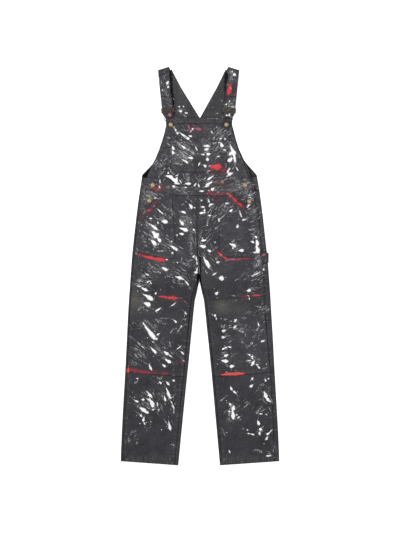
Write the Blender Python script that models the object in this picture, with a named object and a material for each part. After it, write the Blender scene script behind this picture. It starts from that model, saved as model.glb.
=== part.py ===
"""Work dungarees laid flat, front side up: +Y is the shoulder end, -Y the hems, +Z up.

Sizes are in millimetres, and become metres where a mesh is made. "left" is the -X side.
Each panel is one layer of cloth. The back lies on the ground, the front lies on the back,
and what is sewn on a panel is cut from that panel's own surface and moved up.
"""

import math
from collections import namedtuple

import bmesh
import bpy
from mathutils import Vector

MM = 0.001

# Cloth
CLOTH = 1.2                 # one layer of coated denim
HEM_CLOTH = 2.1             # the turned hem
BAND_CLOTH = 2.0            # waistband, two layers
STRAP_CLOTH = 2.0           # shoulder strap, two layers
SEAM_GAP = 0.3              # between pieces that meet or lie on each other
LEG_ROLL = 4.4              # height of a leg's rolled edge
HIP_ROLL = 2.9              # height of the back's side extension, under the front's edge
SEAM_LEVEL = LEG_ROLL - CLOTH       # underside of the front along its seams and waist
FRONT_LEVEL = 2.6           # underside of the front between its seams
BIB_LEVEL = 2.0             # underside of the bib at its free edges
SEAM_FADE = 24.0            # distance over which the front leaves its seam's level
HIDDEN_EXTENSION = 24.0     # how far the side extension reaches under the front
INSEAM_LEFT, INSEAM_RIGHT = 16.0, 10.0      # inseam to the leg's inner edge

# Places along a leg and the bib where the front's height changes, from and to
OPENING_FADE = (120.0, 170.0)       # the front lies on the back's side extension above
WAIST_FADE = (202.0, 262.0)         # the front rises to the waist seam
BIB_FOOT_FADE = (350.0, 390.0)      # the bib rises to the waistband below
BIB_CORNER_FADE = (0.35, 0.95)      # share of the half width where a bib section turns

# Straps
STRAP_WIDTH = 45.5
STRAP_LEAN = -5.7           # the straps' middle line, to the left of the origin
FOLD_OUT, FOLD_Y = 141.0, 790.1             # middle of the shoulder fold
BAR_OUT, BAR_Y, BAR_Z = 120.4, 595.0, 6.2   # middle of the hook's top bar
BACK_WAY = (-0.475, -0.88)  # direction of the back run, for the right strap
BACK_RUN = 17.0             # strap behind the fold, down to the back bib's tip
FOLD_RUN = 8.0              # flat strap beside the fold, before it narrows
FRONT_RUN_Z = 4.4           # middle of the front run's cloth
TURN_STEPS = 7              # sections round the bar
# Sections of the strap above the bar: distance up the strap, height of the middle of
# the cloth, share of the full width. None is the height at which the strap goes round
# the bar. The cloth is gathered towards the bar.
StrapRow = namedtuple("StrapRow", "up z share name")
STRAP_DOWN = [
    StrapRow(156, FRONT_RUN_Z, 1.0, "shoulder"), StrapRow(116, FRONT_RUN_Z, 1.0, "chest"),
    StrapRow(66, 4.2, 1.0, "above the slide"), StrapRow(44, 3.8, 1.0, "slide"),
    StrapRow(34, None, 1.0, "bib's top edge"), StrapRow(17, None, 1.0, "below the slide"),
    StrapRow(8, None, 0.86, "gathered"), StrapRow(2, None, 0.68, "bar"),
]
STRAP_BACK_UP = [
    StrapRow(2, None, 0.68, "bar"), StrapRow(8, None, 0.86, "gathered"),
    StrapRow(17, None, 1.0, "below the slide"), StrapRow(34, None, 1.0, "slide"),
    StrapRow(50, 7.9, 1.0, "slide"), StrapRow(82, 7.0, 1.0, "free end"),
]
TURN_SHARE = 0.55           # share of the full width round the bar

# Slides: a frame round both runs of the strap
SLIDE_Y, SLIDE_LENGTH = 622.0, 19.0
SLIDE_BOTTOM, SLIDE_TOP = 1.5, 12.1
SLIDE_CLEAR, SLIDE_SIDE = 0.5, 2.9          # beside the strap, and the metal there
SLIDE_FLOOR, SLIDE_ROOF = 0.8, 2.0          # metal below and above the strap
WINDOW_OFFSET, WINDOW_HALF, WINDOW_INSET = 4.0, 2.3, 2.4
CUT_PAST = 1.0                              # how far a cutter runs past the metal

# Hooks: half the wire's shape from the bar's middle, across and down
WIRE = 2.6
HOOK_SHAPE = [(4.5, 0.0), (9.5, 0.0), (13.0, 0.0), (15.2, 1.0), (15.9, 4.0),
              (14.8, 10.0)]
HOOK_NECK_OUT, HOOK_NECK_UP = 3.5, 12.0     # wire above the button's loop
HOOK_LOOP_CLEAR = 0.6                       # between the loop and the shank
HOOK_LOOP_TURNS = (20, -30, -90, -150, -200)

# Buttons. The profile runs from the head's underside to the middle of its top: distance
# in from the rim, height above the underside.
BUTTON_HEAD, BUTTON_SHANK, BUTTON_HEIGHT = 18.0, 7.2, 3.0
BUTTON_PROFILE = [(1.2, 0.0), (0.0, 0.8), (0.0, 1.6), (1.0, 2.6), (2.6, 2.4), (4.2, 2.9)]
BUTTON_TURNS = 20
BIB_BUTTON_OUT, BIB_BUTTON_Y = 111.2, 565.0
BAND_TOP_Z = SEAM_LEVEL + CLOTH + SEAM_GAP + BAND_CLOTH
SideButton = namedtuple("SideButton", "name x y cloth_z shank")
SIDE_BUTTONS = [
    SideButton("upper_left", -189.0, 323.0, BAND_TOP_Z, 1.4),
    SideButton("upper_right", 180.0, 323.0, BAND_TOP_Z, 1.4),
    SideButton("lower_left", -203.0, 261.0, SEAM_LEVEL + CLOTH, 1.6),
    SideButton("lower_right", 197.0, 258.0, SEAM_LEVEL + CLOTH, 1.6),
]

# Colours: red, green, blue, roughness, metallic
DENIM = (0.050, 0.049, 0.056, 0.70, 0.0)
DENIM_INSIDE = (0.060, 0.060, 0.066, 0.85, 0.0)
BRASS = (0.52, 0.33, 0.13, 0.42, 1.0)
DARK_WIRE = (0.075, 0.060, 0.045, 0.45, 1.0)

# One row for each section across a leg, from the waist down. "out" is the side of the
# body and "in" the middle; half is a distance from the middle line, which leans by lean.
# fell is the distance from the outer edge to the outseam, and inseam how much of the
# inseam's strip shows.
LegRow = namedtuple("LegRow", "out_y out_half in_y in_half out_lean in_lean fell_left "
                              "fell_right inseam name")
LEG_ROWS = [
    LegRow(327, 235.5, 302, 0.0, -1.6, -9.5, 7, 26, 0.0, "in the waistband"),
    LegRow(303, 239.0, 281, 0.0, -1.4, -9.3, 7, 26, 0.0, "waist seam"),
    LegRow(250, 246.6, 238, 0.0, -1.6, -8.8, 6, 22, 0.0, "placket"),
    LegRow(196, 253.5, 187, 0.0, -1.5, -8.1, 8, 19, 0.0, "side opening"),
    LegRow(190, 254.2, 180, 0.0, -1.5, -8.0, 8, 19, 0.0, "opening ends"),
    LegRow(176, 255.7, 166, 0.0, -1.5, -7.8, 9, 19, 0.0, "outseam begins"),
    LegRow(120, 262.0, 108, 0.0, -1.8, -7.0, 9, 19, 0.0, "pocket"),
    LegRow(52, 269.4, 40, 0.0, -1.4, -5.7, 9, 20, 0.0, "pocket bottom"),
    LegRow(0, 274.0, -12, 0.0, -1.0, -4.4, 8, 21, 0.25, "rise"),
    LegRow(-50, 277.6, -62, 0.6, -1.0, -2.6, 8, 22, 0.6, "crotch"),
    LegRow(-96, 281.0, -105, 9.5, -0.8, -2.4, 8, 23, 1.0, "thigh"),
    LegRow(-118, 282.6, -138, 17.8, -1.0, -2.4, 7, 26, 1.0, "knee patch top"),
    LegRow(-186, 286.6, -196, 24.1, -1.1, -2.3, 7, 26, 1.0, "patch facing"),
    LegRow(-236, 289.4, -246, 29.0, -0.8, -2.2, 8, 25, 1.0, "above the knee"),
    LegRow(-288, 292.2, -298, 34.5, -0.4, -2.0, 8, 23, 1.0, "knee"),
    LegRow(-356, 295.6, -371, 41.9, -0.4, -1.7, 8, 21, 1.0, "below the knee"),
    LegRow(-424, 299.2, -444, 49.3, -0.3, -2.0, 9, 18, 1.0, "knee patch bottom"),
    LegRow(-500, 303.6, -514, 56.1, -0.3, -2.4, 10, 18, 1.0, "shin"),
    LegRow(-580, 308.4, -594, 63.7, -0.3, -2.8, 10, 18, 1.0, "calf"),
    LegRow(-670, 313.3, -684, 72.3, 0.0, -3.2, 10, 19, 1.0, "ankle"),
    LegRow(-757, 316.8, -773, 80.6, 0.0, -3.5, 9, 20, 1.0, "above the hem"),
    LegRow(-760, 316.9, -776, 80.9, 0.0, -3.5, 9, 20, 1.0, "hem top"),
    LegRow(-780.5, 317.4, -797, 82.9, 0.0, -3.6, 9, 20, 1.0, "hem"),
]
WELD = 0.25
LEG_COLUMNS = (0.0, 0.06, 0.15, 0.28, 0.43, 0.57, 0.72, 0.85, 0.94, 1.0)

EDGE_STEPS = 5                      # points round an edge of the back
EDGE_STRIP = 0.4                    # width of the narrow faces beside a square edge
BACK_MIDDLE = (0.3, 0.5, 0.7)       # points along the back's flat underside

# One row for each section across a half of the back bib, from the waist up. extension is
# how far the side extension turns in over the back, and 0 is a plain edge.
BackRow = namedtuple("BackRow", "out_y out_half in_y in_half out_lean in_lean extension "
                                "name")
BACK_ROWS = [
    BackRow(303.3, 239.0, 281.3, 0.0, -1.4, -9.3, 46, "waist seam"),
    BackRow(330, 234.8, 318, 0.0, -1.7, -8.4, 44, "side"),
    BackRow(350, 231.4, 343, 0.0, -2.0, -7.9, 40, "extension top"),
    BackRow(362, 229.6, 357, 0.0, -2.4, -7.6, 3, "side corner"),
    BackRow(366, 227.6, 361, 0.0, -2.2, -7.5, 0, "armhole begins"),
    BackRow(384, 211.0, 380, 0.0, -1.0, -7.2, 0, "armhole"),
    BackRow(404, 192.6, 402, 0.0, -1.0, -6.5, 0, "armhole"),
    BackRow(424, 177.0, 424, 0.0, -0.9, -5.8, 0, "armhole"),
    BackRow(464, 159.3, 464, 0.0, -1.7, -4.6, 0, "side of the bib"),
    BackRow(504, 146.1, 504, 0.0, -1.7, -3.4, 0, "side of the bib"),
    BackRow(564, 130.7, 564, 0.0, -1.9, -1.8, 0, "below the V"),
    BackRow(592, 131.0, 592, 0.0, -2.5, -0.4, 0, "point of the V"),
    BackRow(640, 133.0, 645, 31.0, -4.0, -2.2, 0, "shoulder"),
    BackRow(700, 140.0, 714, 71.4, -5.0, -4.2, 0, "shoulder"),
    BackRow(760.8, 153.2, 785.3, 107.5, STRAP_LEAN, STRAP_LEAN, 0, "strap seam"),
]

# One row for each section across the bib, from the top down. The last row lies in the
# waistband, and end_y is the height of its side ends.
BibRow = namedtuple("BibRow", "y half lean end_y level name")
BIB_ROWS = [
    BibRow(592.8, 132.0, -4.8, 590.5, BIB_LEVEL, "top edge"),
    BibRow(564, 131.0, -4.6, 563, BIB_LEVEL, "buttons"),
    BibRow(534, 137.6, -4.7, 533, 2.2, "chest"),
    BibRow(500, 147.2, -4.7, 500, 2.3, "pocket opening"),
    BibRow(464, 159.3, -4.7, 464, 2.5, "pocket"),
    BibRow(424, 176.4, -4.4, 424, 2.5, "pocket"),
    BibRow(396, 188.4, -7.0, 398, 2.6, "armhole ends"),
    BibRow(368, 197.0, -8.0, 374, 2.8, "below the pocket"),
    BibRow(346, 203.6, -8.6, 356, SEAM_LEVEL, "above the waistband"),
    BibRow(302.6, 216.0, -11.0, 327.6, SEAM_LEVEL, "in the waistband"),
]
BIB_COLUMNS = 15

# The waistband's edges: height in the middle, rise towards the sides, and side ends.
BandEdge = namedtuple("BandEdge", "middle_y rise half lean")
BAND_BOTTOM = BandEdge(281.0, 22.0, 221.5, -10.5)
BAND_TOP = BandEdge(323.0, 30.0, 213.0, -13.0)
BAND_RISE = (85.0, 185.0)   # distances from the middle where the edges rise
BAND_COLUMNS, BAND_LAYERS = 22, 3

# The largest soft folds of the front: a ridge's middle, direction, half length, half
# width and height.
Fold = namedtuple("Fold", "x y angle length width height")
FOLDS = [
    Fold(-78, 14, 38, 85, 26, 1.2), Fold(66, 6, 146, 80, 26, 1.1),
    Fold(-150, -38, 24, 70, 24, 0.9), Fold(152, -26, 160, 80, 26, 1.0),
    Fold(-206, 96, 82, 90, 30, 0.9), Fold(176, 108, 98, 90, 34, 0.9),
    Fold(-176, -232, 12, 85, 26, 1.2), Fold(162, -214, 170, 85, 28, 1.0),
    Fold(-150, -330, -8, 80, 28, 0.9), Fold(176, -338, 8, 90, 30, 1.1),
    Fold(-196, -520, 80, 120, 32, 1.3), Fold(186, -548, 101, 130, 32, 1.2),
    Fold(-224, -690, 20, 70, 26, 0.9), Fold(210, -706, 158, 75, 26, 0.9),
    Fold(-60, 440, 60, 70, 26, 0.5), Fold(84, 430, 118, 70, 28, 0.5),
]

# Pocket outlines: corners from the top inner one on, clockwise on the right side.
POCKET_CORNERS = {
    -1: [(-86, 279.5), (-113, 279.5), (-246, 187), (-290, 63), (-126, 27), (-96, 36)],
    1: [(80, 279.5), (115, 279.5), (246, 183), (290, 35), (100, 36), (66, 64)],
}
POCKET_ROUND = {-1: [(-97, 52), (-99, 90)], 1: [(67, 84), (71, 106), (78, 152)]}
BIB_POCKET = [(-116, 500), (-116, 386), (-104, 375.5), (94, 375.5), (108, 389), (108, 500)]
BIB_BAND_DEPTH = 23.0

# Hammer loop: a flattened tube of strap beside the right outseam.
LOOP_X, LOOP_OUTER_X = 247.5, 274.5
LOOP_Y, LOOP_LENGTH = 33.0, 40.0
LOOP_HEIGHT, LOOP_CLOTH = 8.6, 1.5

SIDES = {"left": -1, "right": 1}


def material(name, finish):
    """A plain Principled material."""
    made = bpy.data.materials.get(name) or bpy.data.materials.new(name)
    made.use_nodes = True
    shader = made.node_tree.nodes["Principled BSDF"]
    shader.inputs["Base Color"].default_value = (*finish[:3], 1.0)
    shader.inputs["Roughness"].default_value = finish[3]
    shader.inputs["Metallic"].default_value = finish[4]
    return made


def add_object(name, mesh_points, faces, finish):
    """One named object from points in millimetres."""
    mesh = bpy.data.meshes.new(name)
    mesh.from_pydata([Vector(p) * MM for p in mesh_points], [], faces)
    mesh.validate()
    work = bmesh.new()
    work.from_mesh(mesh)
    bmesh.ops.recalc_face_normals(work, faces=work.faces)
    work.to_mesh(mesh)
    work.free()
    mesh.shade_smooth()
    mesh.set_sharp_from_angle(angle=math.radians(35))
    mesh.materials.append(material(name, finish))
    made = bpy.data.objects.new(name, mesh)
    bpy.context.scene.collection.objects.link(made)
    return made


def smooth(value):
    """0 to 1 with soft ends."""
    value = min(max(value, 0.0), 1.0)
    return value * value * (3.0 - 2.0 * value)


def fade(value, span):
    """0 to 1 from the first to the second value of a span."""
    return smooth((value - span[0]) / (span[1] - span[0]))


def folds_at(x, y):
    """Height of the soft folds at a place."""
    height = 0.0
    for fold in FOLDS:
        turn = math.radians(fold.angle)
        dx, dy = x - fold.x, y - fold.y
        along = (dx * math.cos(turn) + dy * math.sin(turn)) / fold.length
        across = (dy * math.cos(turn) - dx * math.sin(turn)) / fold.width
        height += fold.height * math.exp(-along * along - across * across)
    return height


def sheet_faces(row_count, column_count):
    """Quads of a grid of points, row by row."""
    faces = []
    for row in range(row_count - 1):
        for column in range(column_count - 1):
            corner = row * column_count + column
            faces.append((corner, corner + 1, corner + column_count + 1,
                          corner + column_count))
    return faces


def panel(name, points, faces, finish, lift=0.0, thickness=CLOTH):
    """A layer of cloth from an open sheet: moved up by lift, then given its thickness.

    thickness is one number, or one for each point."""
    count = len(points)
    depths = thickness if isinstance(thickness, list) else [thickness] * count
    lower = [(x, y, z + lift) for x, y, z in points]
    upper = [(x, y, z + lift + depths[i]) for i, (x, y, z) in enumerate(points)]
    edge_use = {}
    for face in faces:
        for i, start in enumerate(face):
            edge = (start, face[(i + 1) % len(face)])
            key = (min(edge), max(edge))
            edge_use.setdefault(key, []).append(edge)
    walls = [(a, b, b + count, a + count)
             for uses in edge_use.values() if len(uses) == 1 for a, b in uses]
    top = [tuple(i + count for i in face) for face in faces]
    bottom = [tuple(reversed(face)) for face in faces]
    return add_object(name, lower + upper, bottom + top + walls, finish)


def cut_sheet(points, faces, outline):
    """The part of an open sheet inside a convex outline, seen from above.

    Sheet points within WELD of a cut are taken onto it."""
    work = bmesh.new()
    verts = [work.verts.new(point) for point in points]
    for face in faces:
        work.faces.new([verts[i] for i in face])
    middle = Vector((sum(p[0] for p in outline), sum(p[1] for p in outline), 0))
    middle /= len(outline)
    for i, start in enumerate(outline):
        end = outline[(i + 1) % len(outline)]
        away = Vector((end[1] - start[1], start[0] - end[0], 0)).normalized()
        place = Vector((*start, 0))
        if away.dot(middle - place) > 0:
            away.negate()
        bmesh.ops.bisect_plane(work, geom=work.verts[:] + work.edges[:] + work.faces[:],
                               dist=WELD, plane_co=place, plane_no=away, clear_outer=True)
    work.verts.index_update()
    cut_points = [tuple(vert.co) for vert in work.verts]
    cut_faces = [tuple(vert.index for vert in face.verts) for face in work.faces]
    work.free()
    return cut_points, cut_faces


def leg_ends(row, side):
    """A leg section's inner and outer end, at the silhouette or the centre seam."""
    inner = Vector((row.in_lean + side * (row.in_half + SEAM_GAP / 2), row.in_y))
    outer = Vector((row.out_lean + side * row.out_half, row.out_y))
    return inner, outer


def leg_insets(row, side):
    """Distances from a leg section's ends to the inseam and the outseam."""
    inseam = (INSEAM_LEFT if side < 0 else INSEAM_RIGHT) * row.inseam
    fell = row.fell_left if side < 0 else row.fell_right
    return inseam, fell


def front_height(place, to_inner, to_outer):
    """Underside of a front leg, from its distances to its two seams.

    Beside the opening it stays at the seam's level over the back's side extension."""
    to_outer -= HIDDEN_EXTENSION * fade(place.y, OPENING_FADE)
    inside = smooth(min(to_inner, to_outer) / SEAM_FADE) * (1 - fade(place.y, WAIST_FADE))
    level = FRONT_LEVEL + folds_at(place.x, place.y)
    return SEAM_LEVEL + (level - SEAM_LEVEL) * inside


def front_leg_sheet(side, rows):
    """Open sheet of a front leg's underside."""
    points = []
    for row in rows:
        inner, outer = leg_ends(row, side)
        way = outer - inner
        length = way.length
        way.normalize()
        inseam, fell = leg_insets(row, side)
        start = inseam + (SEAM_GAP if row.inseam > 0 else 0.0)
        width = length - start - fell - SEAM_GAP
        for part in LEG_COLUMNS:
            place = inner + way * (start + part * width)
            height = front_height(place, part * width, (1 - part) * width)
            points.append((place.x, place.y, height))
    return points, sheet_faces(len(rows), len(LEG_COLUMNS))


def make_front_leg(label, side):
    """Front leg, its slant pocket and its knee patch."""
    points, faces = front_leg_sheet(side, LEG_ROWS)
    columns = len(LEG_COLUMNS)
    hem_from = [row.name for row in LEG_ROWS].index("hem top") * columns
    depths = [HEM_CLOTH if i >= hem_from else CLOTH for i in range(len(points))]
    panel(f"front_leg_{label}", points, faces, DENIM, thickness=depths)

    outline = POCKET_CORNERS[side] + POCKET_ROUND[side]
    pocket_points, pocket_faces = cut_sheet(points, faces, outline)
    panel(f"pocket_{label}", pocket_points, pocket_faces, DENIM, lift=CLOTH + SEAM_GAP)

    names = [row.name for row in LEG_ROWS]
    first, last = names.index("knee patch top"), names.index("knee patch bottom")
    patch_points = points[first * columns:(last + 1) * columns]
    panel(f"knee_patch_{label}", patch_points, sheet_faces(last - first + 1, columns),
          DENIM, lift=CLOTH + SEAM_GAP)


def edge_profile(height, inset):
    """Outer and inner side of a back panel's edge, as (distance from the edge, z).

    With an inset the cloth rolls up and over by that much. Without, it is cut off
    square."""
    outer, inner = [], []
    if inset <= 0:
        for i in range(EDGE_STEPS):
            outer.append((0.0, CLOTH * (1 - i / (EDGE_STEPS - 1))))
            inner.append((EDGE_STRIP * (i + 1), CLOTH))
        return outer, inner
    radius = height / 2
    inside = radius - CLOTH
    outer.append((inset, height))
    inner.append((inset, height - CLOTH))
    for i in range(EDGE_STEPS - 1):
        turn = math.radians(90 + 180 * i / (EDGE_STEPS - 2))
        outer.append((radius + radius * math.cos(turn), radius + radius * math.sin(turn)))
        inner.append((radius + inside * math.cos(turn), radius + inside * math.sin(turn)))
    return outer, inner


def back_ring(inner_end, outer_end, inner_profile, outer_profile):
    """One closed section of a back panel, from its two edge profiles."""
    way = outer_end - inner_end
    length = way.length
    way.normalize()
    start_outer, start_inner = inner_profile
    end_outer, end_inner = outer_profile
    under = start_outer + [(length * part, 0.0) for part in BACK_MIDDLE]
    under += [(length - d, z) for d, z in reversed(end_outer)]
    above = start_inner + [(length * part, CLOTH) for part in BACK_MIDDLE]
    above += [(length - d, z) for d, z in reversed(end_inner)]
    ring = under + list(reversed(above))
    return [(*(inner_end + way * d), z) for d, z in ring]


def loft(name, rings, finish):
    """A wall through closed sections, each with its outer half and its inner half."""
    size = len(rings[0])
    half = size // 2
    points = [point for ring in rings for point in ring]
    faces = []
    for r in range(len(rings) - 1):
        for i in range(size):
            j = (i + 1) % size
            faces.append((r * size + i, r * size + j, (r + 1) * size + j,
                          (r + 1) * size + i))
    for r in (0, len(rings) - 1):
        base = r * size
        for i in range(half - 1):
            faces.append((base + i, base + i + 1, base + size - 2 - i,
                          base + size - 1 - i))
    return add_object(name, points, faces, finish)


def make_back_leg(label, side):
    """Back leg: flat on the ground, rolled over at both long edges."""
    rings = []
    names = [row.name for row in LEG_ROWS]
    for row in LEG_ROWS[names.index("waist seam"):]:
        inner_end, outer_end = leg_ends(row, side)
        inseam, fell = leg_insets(row, side)
        hip = row.out_y >= LEG_ROWS[names.index("opening ends")].out_y
        if row.out_y > LEG_ROWS[names.index("opening ends")].out_y:
            fell += HIDDEN_EXTENSION
        outer_profile = edge_profile(HIP_ROLL if hip else LEG_ROLL, fell)
        inner_profile = edge_profile(LEG_ROLL, inseam)
        rings.append(back_ring(inner_end, outer_end, inner_profile, outer_profile))
    loft(f"back_leg_{label}", rings, DENIM)


def make_back_bib(label, side):
    """Half of the back bib, up to the strap's seam."""
    rings = []
    for row in BACK_ROWS:
        inner_end, outer_end = leg_ends(row, side)
        outer_profile = edge_profile(HIP_ROLL, row.extension)
        inner_profile = edge_profile(HIP_ROLL, 0)
        rings.append(back_ring(inner_end, outer_end, inner_profile, outer_profile))
    loft(f"back_bib_{label}", rings, DENIM_INSIDE)


def waist_line(x):
    """Height at which the front legs end inside the waistband."""
    row = LEG_ROWS[0]
    side = -1 if x < row.in_lean else 1
    width = row.out_half + side * (row.out_lean - row.in_lean)
    return row.in_y + (row.out_y - row.in_y) * abs(x - row.in_lean) / width


def bib_sheet():
    """Open sheet of the bib's underside; its last row meets the legs' top edge."""
    points = []
    for row in BIB_ROWS:
        for column in range(BIB_COLUMNS):
            part = -1 + 2 * column / (BIB_COLUMNS - 1)
            x = row.lean + part * row.half
            y = row.y + (row.end_y - row.y) * fade(abs(part), BIB_CORNER_FADE)
            if row is BIB_ROWS[-1]:
                y = waist_line(x) + 2 * SEAM_GAP
            inside = smooth((1 - abs(part)) * row.half / SEAM_FADE)
            height = row.level + folds_at(x, y) * inside * fade(y, BIB_FOOT_FADE)
            points.append((x, y, height))
    return points, sheet_faces(len(BIB_ROWS), BIB_COLUMNS)


def make_bib():
    """The bib, its top band and its pocket."""
    points, faces = bib_sheet()
    panel("bib", points, faces, DENIM)
    top = BIB_ROWS[0].y
    band_outline = [(-200, top + 10), (200, top + 10), (200, top - BIB_BAND_DEPTH),
                    (-200, top - BIB_BAND_DEPTH)]
    for name, outline in (("bib_band", band_outline), ("bib_pocket", BIB_POCKET)):
        cut_points, cut_faces = cut_sheet(points, faces, outline)
        panel(name, cut_points, cut_faces, DENIM, lift=CLOTH + SEAM_GAP)


def band_edge(edge, part):
    """A place along one edge of the waistband; part runs from -1 to 1."""
    x = edge.lean + part * edge.half
    return Vector((x, edge.middle_y + edge.rise * fade(abs(x), BAND_RISE)))


def make_waistband():
    """The shaped band over the bib's lower and the legs' upper edges."""
    points = []
    for layer in range(BAND_LAYERS + 1):
        for column in range(BAND_COLUMNS + 1):
            part = -1 + 2 * column / BAND_COLUMNS
            low, high = band_edge(BAND_BOTTOM, part), band_edge(BAND_TOP, part)
            place = low.lerp(high, layer / BAND_LAYERS)
            points.append((place.x, place.y, SEAM_LEVEL))
    panel("waistband", points, sheet_faces(BAND_LAYERS + 1, BAND_COLUMNS + 1), DENIM,
          lift=CLOTH + SEAM_GAP, thickness=BAND_CLOTH)


class StrapFrame:
    """Directions and places of one strap; out is away from the middle line."""

    def __init__(self, side):
        self.side = side
        self.fold = self.place(FOLD_OUT, FOLD_Y)
        self.bar = self.place(BAR_OUT, BAR_Y)
        self.down = (self.bar - self.fold).normalized()
        self.back = Vector((side * BACK_WAY[0], BACK_WAY[1], 0)).normalized()
        self.across = Vector((-self.down.y, self.down.x, 0)) * side
        self.back_across = Vector((-self.back.y, self.back.x, 0)) * side
        self.crown = -(self.down + self.back).normalized()
        self.fold_line = Vector((self.crown.y, -self.crown.x, 0)) * side

    def place(self, out, y, z=0.0):
        """A point from its distance to the straps' middle line."""
        return Vector((STRAP_LEAN + self.side * out, y, z))


def ribbon(name, sections, thickness, finish):
    """A flat strip through sections of (middle, half width vector, normal)."""
    rings = []
    for middle, half, normal in sections:
        depth = normal * thickness / 2
        rings.append([tuple(middle + half + depth), tuple(middle - half + depth),
                      tuple(middle - half - depth), tuple(middle + half - depth)])
    points = [point for ring in rings for point in ring]
    faces = [(0, 1, 2, 3)]
    for r in range(len(rings) - 1):
        for i in range(4):
            j = (i + 1) % 4
            faces.append((r * 4 + i, r * 4 + j, r * 4 + 4 + j, r * 4 + 4 + i))
    last = 4 * (len(rings) - 1)
    faces.append((last + 3, last + 2, last + 1, last))
    return add_object(name, points, faces, finish)


def make_strap(label, side):
    """Strap: back run, fold at the shoulder, front run, round the bar and back up."""
    frame = StrapFrame(side)
    up = Vector((0, 0, 1))
    half_width = STRAP_WIDTH / 2
    fold_half = frame.fold_line * (half_width / frame.fold_line.dot(frame.across))
    back_half = frame.back_across * half_width
    front_half = frame.across * half_width
    low = STRAP_CLOTH / 2
    radius = (FRONT_RUN_Z - low) / 2
    centre = frame.fold - frame.crown * (radius + low)
    sections = [(centre + frame.back * BACK_RUN + up * low, back_half, -up),
                (centre + frame.back * FOLD_RUN + up * low, fold_half, -up)]
    for i in range(5):
        turn = math.radians(-90 + 45 * i)
        out = frame.crown * math.cos(turn) + up * math.sin(turn)
        sections.append((centre + up * (low + radius) + out * radius, fold_half, out))
    sections.append((centre + frame.down * FOLD_RUN + up * FRONT_RUN_Z, fold_half, up))

    bar = frame.bar + up * BAR_Z
    turn_radius = WIRE / 2 + SEAM_GAP + STRAP_CLOTH / 2
    for row in STRAP_DOWN:
        height = BAR_Z - turn_radius if row.z is None else row.z
        middle = frame.bar - frame.down * row.up + up * height
        sections.append((middle, front_half * row.share, up))
    for i in range(TURN_STEPS):
        turn = math.radians(-90 + 180 * i / (TURN_STEPS - 1))
        out = frame.down * math.cos(turn) + up * math.sin(turn)
        sections.append((bar + out * turn_radius, front_half * TURN_SHARE, -out))
    for row in STRAP_BACK_UP:
        height = BAR_Z + turn_radius if row.z is None else row.z
        middle = frame.bar - frame.down * row.up + up * height
        sections.append((middle, front_half * row.share, -up))
    ribbon(f"strap_{label}", sections, STRAP_CLOTH, DENIM)


def box_points(frame, middle, across, along, low, high):
    """Eight corners of a block in line with a strap: half sizes and two heights."""
    return [tuple(middle + frame.across * (across * a) + frame.down * (along * b)
                  + Vector((0, 0, z)))
            for z in (low, high) for a, b in ((-1, -1), (1, -1), (1, 1), (-1, 1))]


BOX_FACES = [(0, 3, 2, 1), (4, 5, 6, 7), (0, 1, 5, 4), (1, 2, 6, 5), (2, 3, 7, 6),
             (3, 0, 4, 7)]


def make_slide(label, side):
    """Slide: a metal frame round both runs of the strap, with two windows."""
    frame = StrapFrame(side)
    middle = frame.bar - frame.down * ((SLIDE_Y - BAR_Y) / -frame.down.y)
    inner = STRAP_WIDTH / 2 + SLIDE_CLEAR
    outer = inner + SLIDE_SIDE
    long_half = SLIDE_LENGTH / 2
    slide = add_object(f"slide_{label}",
                       box_points(frame, middle, outer, long_half, SLIDE_BOTTOM, SLIDE_TOP),
                       BOX_FACES, BRASS)
    roof = SLIDE_TOP - SLIDE_ROOF
    cuts = [box_points(frame, middle, inner, long_half + CUT_PAST,
                       SLIDE_BOTTOM + SLIDE_FLOOR, roof)]
    for offset in (-WINDOW_OFFSET, WINDOW_OFFSET):
        cuts.append(box_points(frame, middle + frame.down * offset, inner - WINDOW_INSET,
                               WINDOW_HALF, roof - CUT_PAST, SLIDE_TOP + CUT_PAST))
    for number, corners in enumerate(cuts):
        cutter = add_object(f"slide_{label}_cutter_{number}", corners, BOX_FACES, BRASS)
        cutter.hide_render = True
        cutter.display_type = "WIRE"
        cut = slide.modifiers.new(f"cut_{number}", "BOOLEAN")
        cut.operation = "DIFFERENCE"
        cut.solver = "EXACT"
        cut.object = cutter


def closed_curve(corners, steps):
    """Points of a smooth closed curve through the corners."""
    points = []
    count = len(corners)
    for i in range(count):
        a, b, c, d = (corners[(i + k - 1) % count] for k in range(4))
        for step in range(steps):
            t = step / steps
            points.append(0.5 * ((2 * b) + (c - a) * t + (2 * a - 5 * b + 4 * c - d) * t * t
                                 + (3 * b - a - 3 * c + d) * t * t * t))
    return points


def tube(name, path, radius, finish):
    """A closed round wire along a closed level path."""
    turns = 8
    points, faces = [], []
    count = len(path)
    for i, place in enumerate(path):
        way = (path[(i + 1) % count] - path[i - 1]).normalized()
        aside = Vector((-way.y, way.x, 0))
        for k in range(turns):
            angle = 2 * math.pi * k / turns
            points.append(tuple(place + aside * (radius * math.cos(angle))
                                + Vector((0, 0, radius * math.sin(angle)))))
    for i in range(count):
        j = (i + 1) % count
        for k in range(turns):
            m = (k + 1) % turns
            faces.append((i * turns + k, i * turns + m, j * turns + m, j * turns + k))
    return add_object(name, points, faces, finish)


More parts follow.
